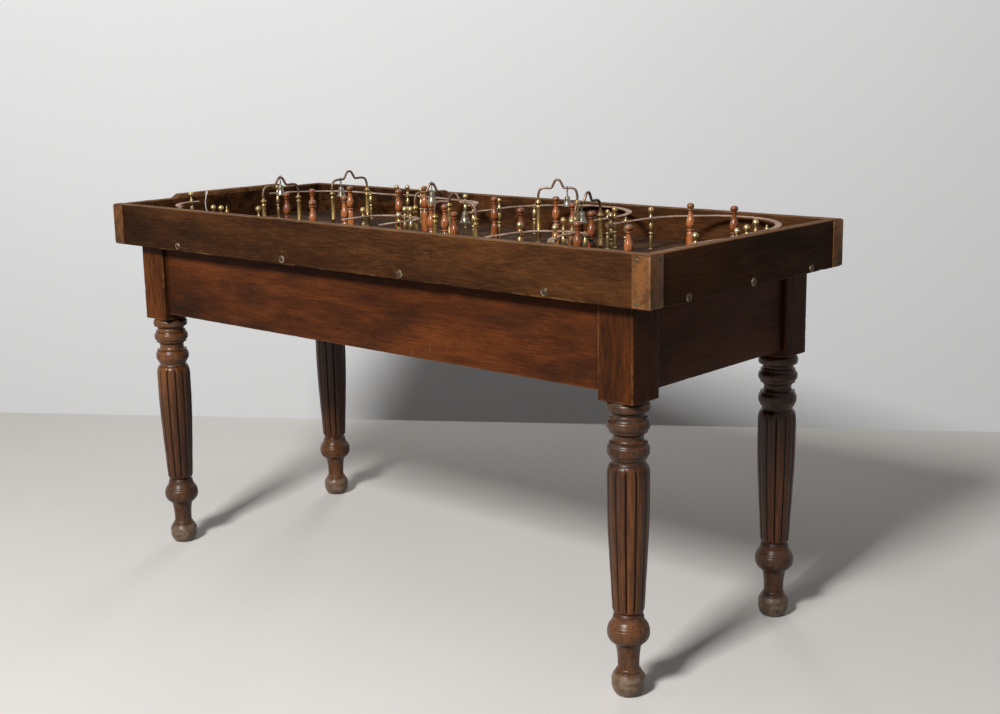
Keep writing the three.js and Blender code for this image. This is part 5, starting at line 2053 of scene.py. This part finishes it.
@dataclass
class ArchSet:
    """The wire arches on their brass tubes, and the bells that hang in them, in millimetres."""

    post_height: float = 85.5
    rise: float = 44.5
    wire: float = 5.0
    tube: float = 8.4
    collar: float = 12.0
    bell_mouth: float = 21.0
    bell_height: float = 23.0
    bell_drop: float = 15.0
    bell_wall: float = 1.0
    link_wire: float = 1.5
    link_gap: float = 1.2
    link_start: float = 20.0
    link_turn: float = 320.0
    link_pitch: float = 0.8
    link_steps: int = 24
    sides: int = 40

    def tube_outline(self) -> Outline:
        """The half outline of a brass tube with its collars, in millimetres from the playfield."""
        radius, collar, top = self.tube / 2, self.collar / 2, self.post_height
        post = Outline(radius + 0.9, 0).line(radius + 0.9, 1.2).line(radius, 2.0).line(radius, 24)
        post.line(radius + 0.35, 24.6).line(radius + 0.35, 26.4).line(radius, 27)
        post.line(radius, top * 0.84).bead(radius, top * 0.875, 0.9, 6).line(radius * 0.86, top * 0.885)
        post.line(radius * 0.86, top * 0.925).line(collar - 0.3, top * 0.945)
        post.bead(collar - 0.3, top * 0.985, 0.4, 4).line(radius * 0.95, top * 0.995)
        return post.bow(self.wire / 2 + 0.35, top * 1.05, -0.5, 5).line(self.wire / 2 - 0.2, top * 1.055)

    def bell_outline(self) -> Outline:
        """The half outline of a bell's wall, outside up and inside down, in millimetres from its hook."""
        foot = -self.bell_drop - self.bell_height
        top = -self.bell_drop
        radius = self.bell_mouth / 2
        wall = self.bell_wall
        bell = Outline(radius - wall, foot).line(radius - 0.3, foot).bead(radius - 0.2, foot + 1.2, 0.2, 3)
        bell.bow(radius * 0.74, foot + 5.6, -0.45, 5).bow(radius * 0.56, foot + 14, -0.3, 6)
        bell.bow(radius * 0.5, foot + 18.2, 0.2, 4).bow(radius * 0.2, top - 1.2, 1.1, 7)
        return bell.line(1.7, top - 1.0).line(1.7, top - 0.2).line(0, top)

    def bell_inside(self) -> Outline:
        """The half outline of the bell's hollow, in millimetres from its hook."""
        foot = -self.bell_drop - self.bell_height
        radius = self.bell_mouth / 2
        wall = self.bell_wall
        hollow = Outline(radius - wall, foot - 2).line(radius - wall, foot + 0.6)
        hollow.bow(radius * 0.74 - wall, foot + 5.6, -0.4, 5).bow(radius * 0.56 - wall, foot + 14, -0.3, 6)
        return hollow.bow(radius * 0.46 - wall, foot + 18.6, 0.2, 4).bow(0.4, -self.bell_drop - 2.6, 0.8, 5)

    def bell(self) -> Piece:
        """Makes a bell with its hollow and its clapper, hung at the origin."""
        shell = turned("bell", self.bell_outline(), self.sides)
        hollow = turned("hollow", self.bell_inside(), self.sides)
        with_modifier(shell, "BOOLEAN", operation="DIFFERENCE", object=hollow, solver="EXACT")
        discard(hollow)
        foot = -self.bell_drop - self.bell_height
        clapper = Outline(0.2, foot + 3.2).bead(0.7, foot + 7.6, 2.0, 8).line(0.5, foot + 9)
        clapper.line(0.5, -self.bell_drop - 2)
        return joined("bell", [shell, turned("clapper", clapper, 16)])

    def link(self) -> Piece:
        """Makes the wire link that hangs a bell from the arch, about the arch's wire at the origin."""
        section = round_section(self.link_wire * MM, 10)
        reach = self.wire / 2 + self.link_gap
        eye = 0.6 - self.bell_drop
        loop = []
        for share in (index / self.link_steps for index in range(self.link_steps + 1)):
            turn = -math.pi / 2 + math.radians(self.link_start + self.link_turn * share)
            loop.append(MM * Vector((self.link_pitch * share, reach * math.cos(turn),
                                     reach * math.sin(turn))))
        pieces = [sweep("link_loop", loop, section)]
        for side in (-1, 1):
            leg = [(side * 0.4, side * 1.5, -reach * 0.96), (side * 0.7, side * 2.1, -reach - 2.2),
                   (side * 0.5, side * 1.4, eye + 3), (0, side * 0.9, eye + 0.8), (0, 0, eye - 0.4)]
            line = through_points([Vector(point) * MM for point in leg], 6)
            pieces.append(sweep("link_leg", line, section))
        stud = Outline(1.7, -self.bell_drop - 0.4).line(1.7, -self.bell_drop + 0.2)
        stud.bow(0.3, -self.bell_drop + 2.0, 0.5, 4)
        pieces.append(turned("stud", stud, 16))
        return joined("link", pieces)

    def build(self) -> None:
        """Makes every arch and every bell."""
        brass = OldMetal("arch_brass", (214, 182, 120), (152, 120, 70), (110, 92, 58), cloud_scale=90,
                         speck_scale=650, metallic=0.85, roughness=0.24).material()
        wire_metal = OldMetal("arch_wire", (164, 132, 108), (118, 90, 70), (96, 84, 64), cloud_scale=80,
                              metallic=0.6, roughness=0.34).material()
        silver = OldMetal("bell_metal", (182, 174, 156), (122, 113, 96), (94, 86, 68), cloud_scale=140,
                          speck_scale=900, metallic=0.85, roughness=0.26).material()
        tube = turned("arch_tube", self.tube_outline(), 28)
        bell = self.bell()
        link = self.link()
        for number, arch in enumerate(ARCHES, 1):
            left, right = (PLAYFIELD.place(shares) for shares in (arch.left_shares, arch.right_shares))
            along = right - left
            turn = Matrix.Rotation(math.atan2(along.y, along.x), 4, "Z")
            stand = Matrix.Translation((left + right) / 2) @ turn
            line = self.wire_line(along.length / 2)
            wire = sweep(f"arch_wire_{number}", line, round_section(self.wire * MM, 16))
            wire.data.transform(stand)
            finish_piece(wire, wire_metal, nodes=[f"bell_arch_{number}"])
            tubes = [placed_copy(tube, "tube", Matrix.Translation(foot)) for foot in (left, right)]
            finish_piece(smooth(joined(f"arch_tubes_{number}", tubes)), brass)
            hook = stand @ self.hook(line, arch.hang_share * along.length / 2)
            place = Matrix.Translation(hook) @ turn
            body = f"bell_{number}"
            hung = smooth(placed_copy(bell, f"hung_bell_{number}", place))
            finish_piece(hung, silver, body, [body])
            hanger = smooth(placed_copy(link, f"bell_link_{number}", place))
            finish_piece(hanger, silver, body)
        discard(tube, bell, link)

    def wire_line(self, half_span: float) -> list[Vector]:
        """The bent line of an arch's wire, about the arch's middle on the playfield."""
        return through_points([(across * half_span, 0, (self.post_height + up * self.rise) * MM)
                               for across, up in ARCH_OUTLINE_SHARES], 6)

    def hook(self, line: Sequence[Vector], across: float) -> Vector:
        """The place on the wire over a distance from its middle."""
        for before, after in zip(line, line[1:]):
            if before.x <= across <= after.x and after.x > before.x:
                return before.lerp(after, (across - before.x) / (after.x - before.x))
        return line[len(line) // 2]


# Pins


@dataclass
class PinSet:
    """The nineteen turned pins."""

    count: int = 19
    sides: int = 40
    head_radius: float = 6.7
    tall_head_radius: float = 7.2
    tall_heads: Sequence[int] = (15, 19)

    def outline(self, head: float) -> Outline:
        """The half outline of a pin, in millimetres, with its head's radius."""
        pin = Outline(7.4, 0).bow(8.75, 2, 0.2, 3).line(8.8, 10).bow(8.0, 30, 0.3, 6).bow(7.2, 40, 0.2, 4)
        pin.bow(5.0, 46.5, 0.4, 5).line(4.9, 47.3).bead(4.9, 50.9, 1.3, 6).line(4.7, 52.2)
        pin.bow(7.9, 58.4, 0.2, 6).bow(8.1, 61.4, 0.12, 3).bow(6.3, 71.6, 0.6, 6).bow(4.1, 83, -0.5, 6)
        pin.line(4.0, 85.4).line(4.9, 86.6).bead(4.9, 89.4, 0.5, 5).line(4.1, 90.2)
        return pin.bead(0.3, 100, head * 0.74, 12)

    def build(self) -> None:
        """Makes every pin on its own body."""
        wood = TurnedWood().material()
        plain = turned("pin", self.outline(self.head_radius), self.sides)
        tall = turned("pin", self.outline(self.tall_head_radius), self.sides)
        for number in range(1, self.count + 1):
            node = f"pin_{number:02d}"
            low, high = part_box(node)
            middle = (low + high) / 2
            source = tall if number in self.tall_heads else plain
            spin = Matrix.Rotation(number * 2.4, 4, "Z")
            place = Matrix.Translation((middle.x, middle.y, PLAYFIELD.top)) @ spin
            pin = placed_copy(source, f"turned_{node}", place)
            finish_piece(pin, wood, node, [node])
        discard(plain, tall)


def main() -> None:
    """Loads the frame and dresses it."""
    logging.basicConfig(level=logging.INFO, format="%(message)s")
    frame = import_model()
    bpy.context.scene.view_settings.view_transform = "Standard"
    Room().build()
    SpinningCord().build()
    Tray().build(frame["nodes"]["playfield_board"])
    Base().build()
    RailSet().build()
    ArchSet().build()
    PinSet().build()


if __name__ == "__main__":
    main()
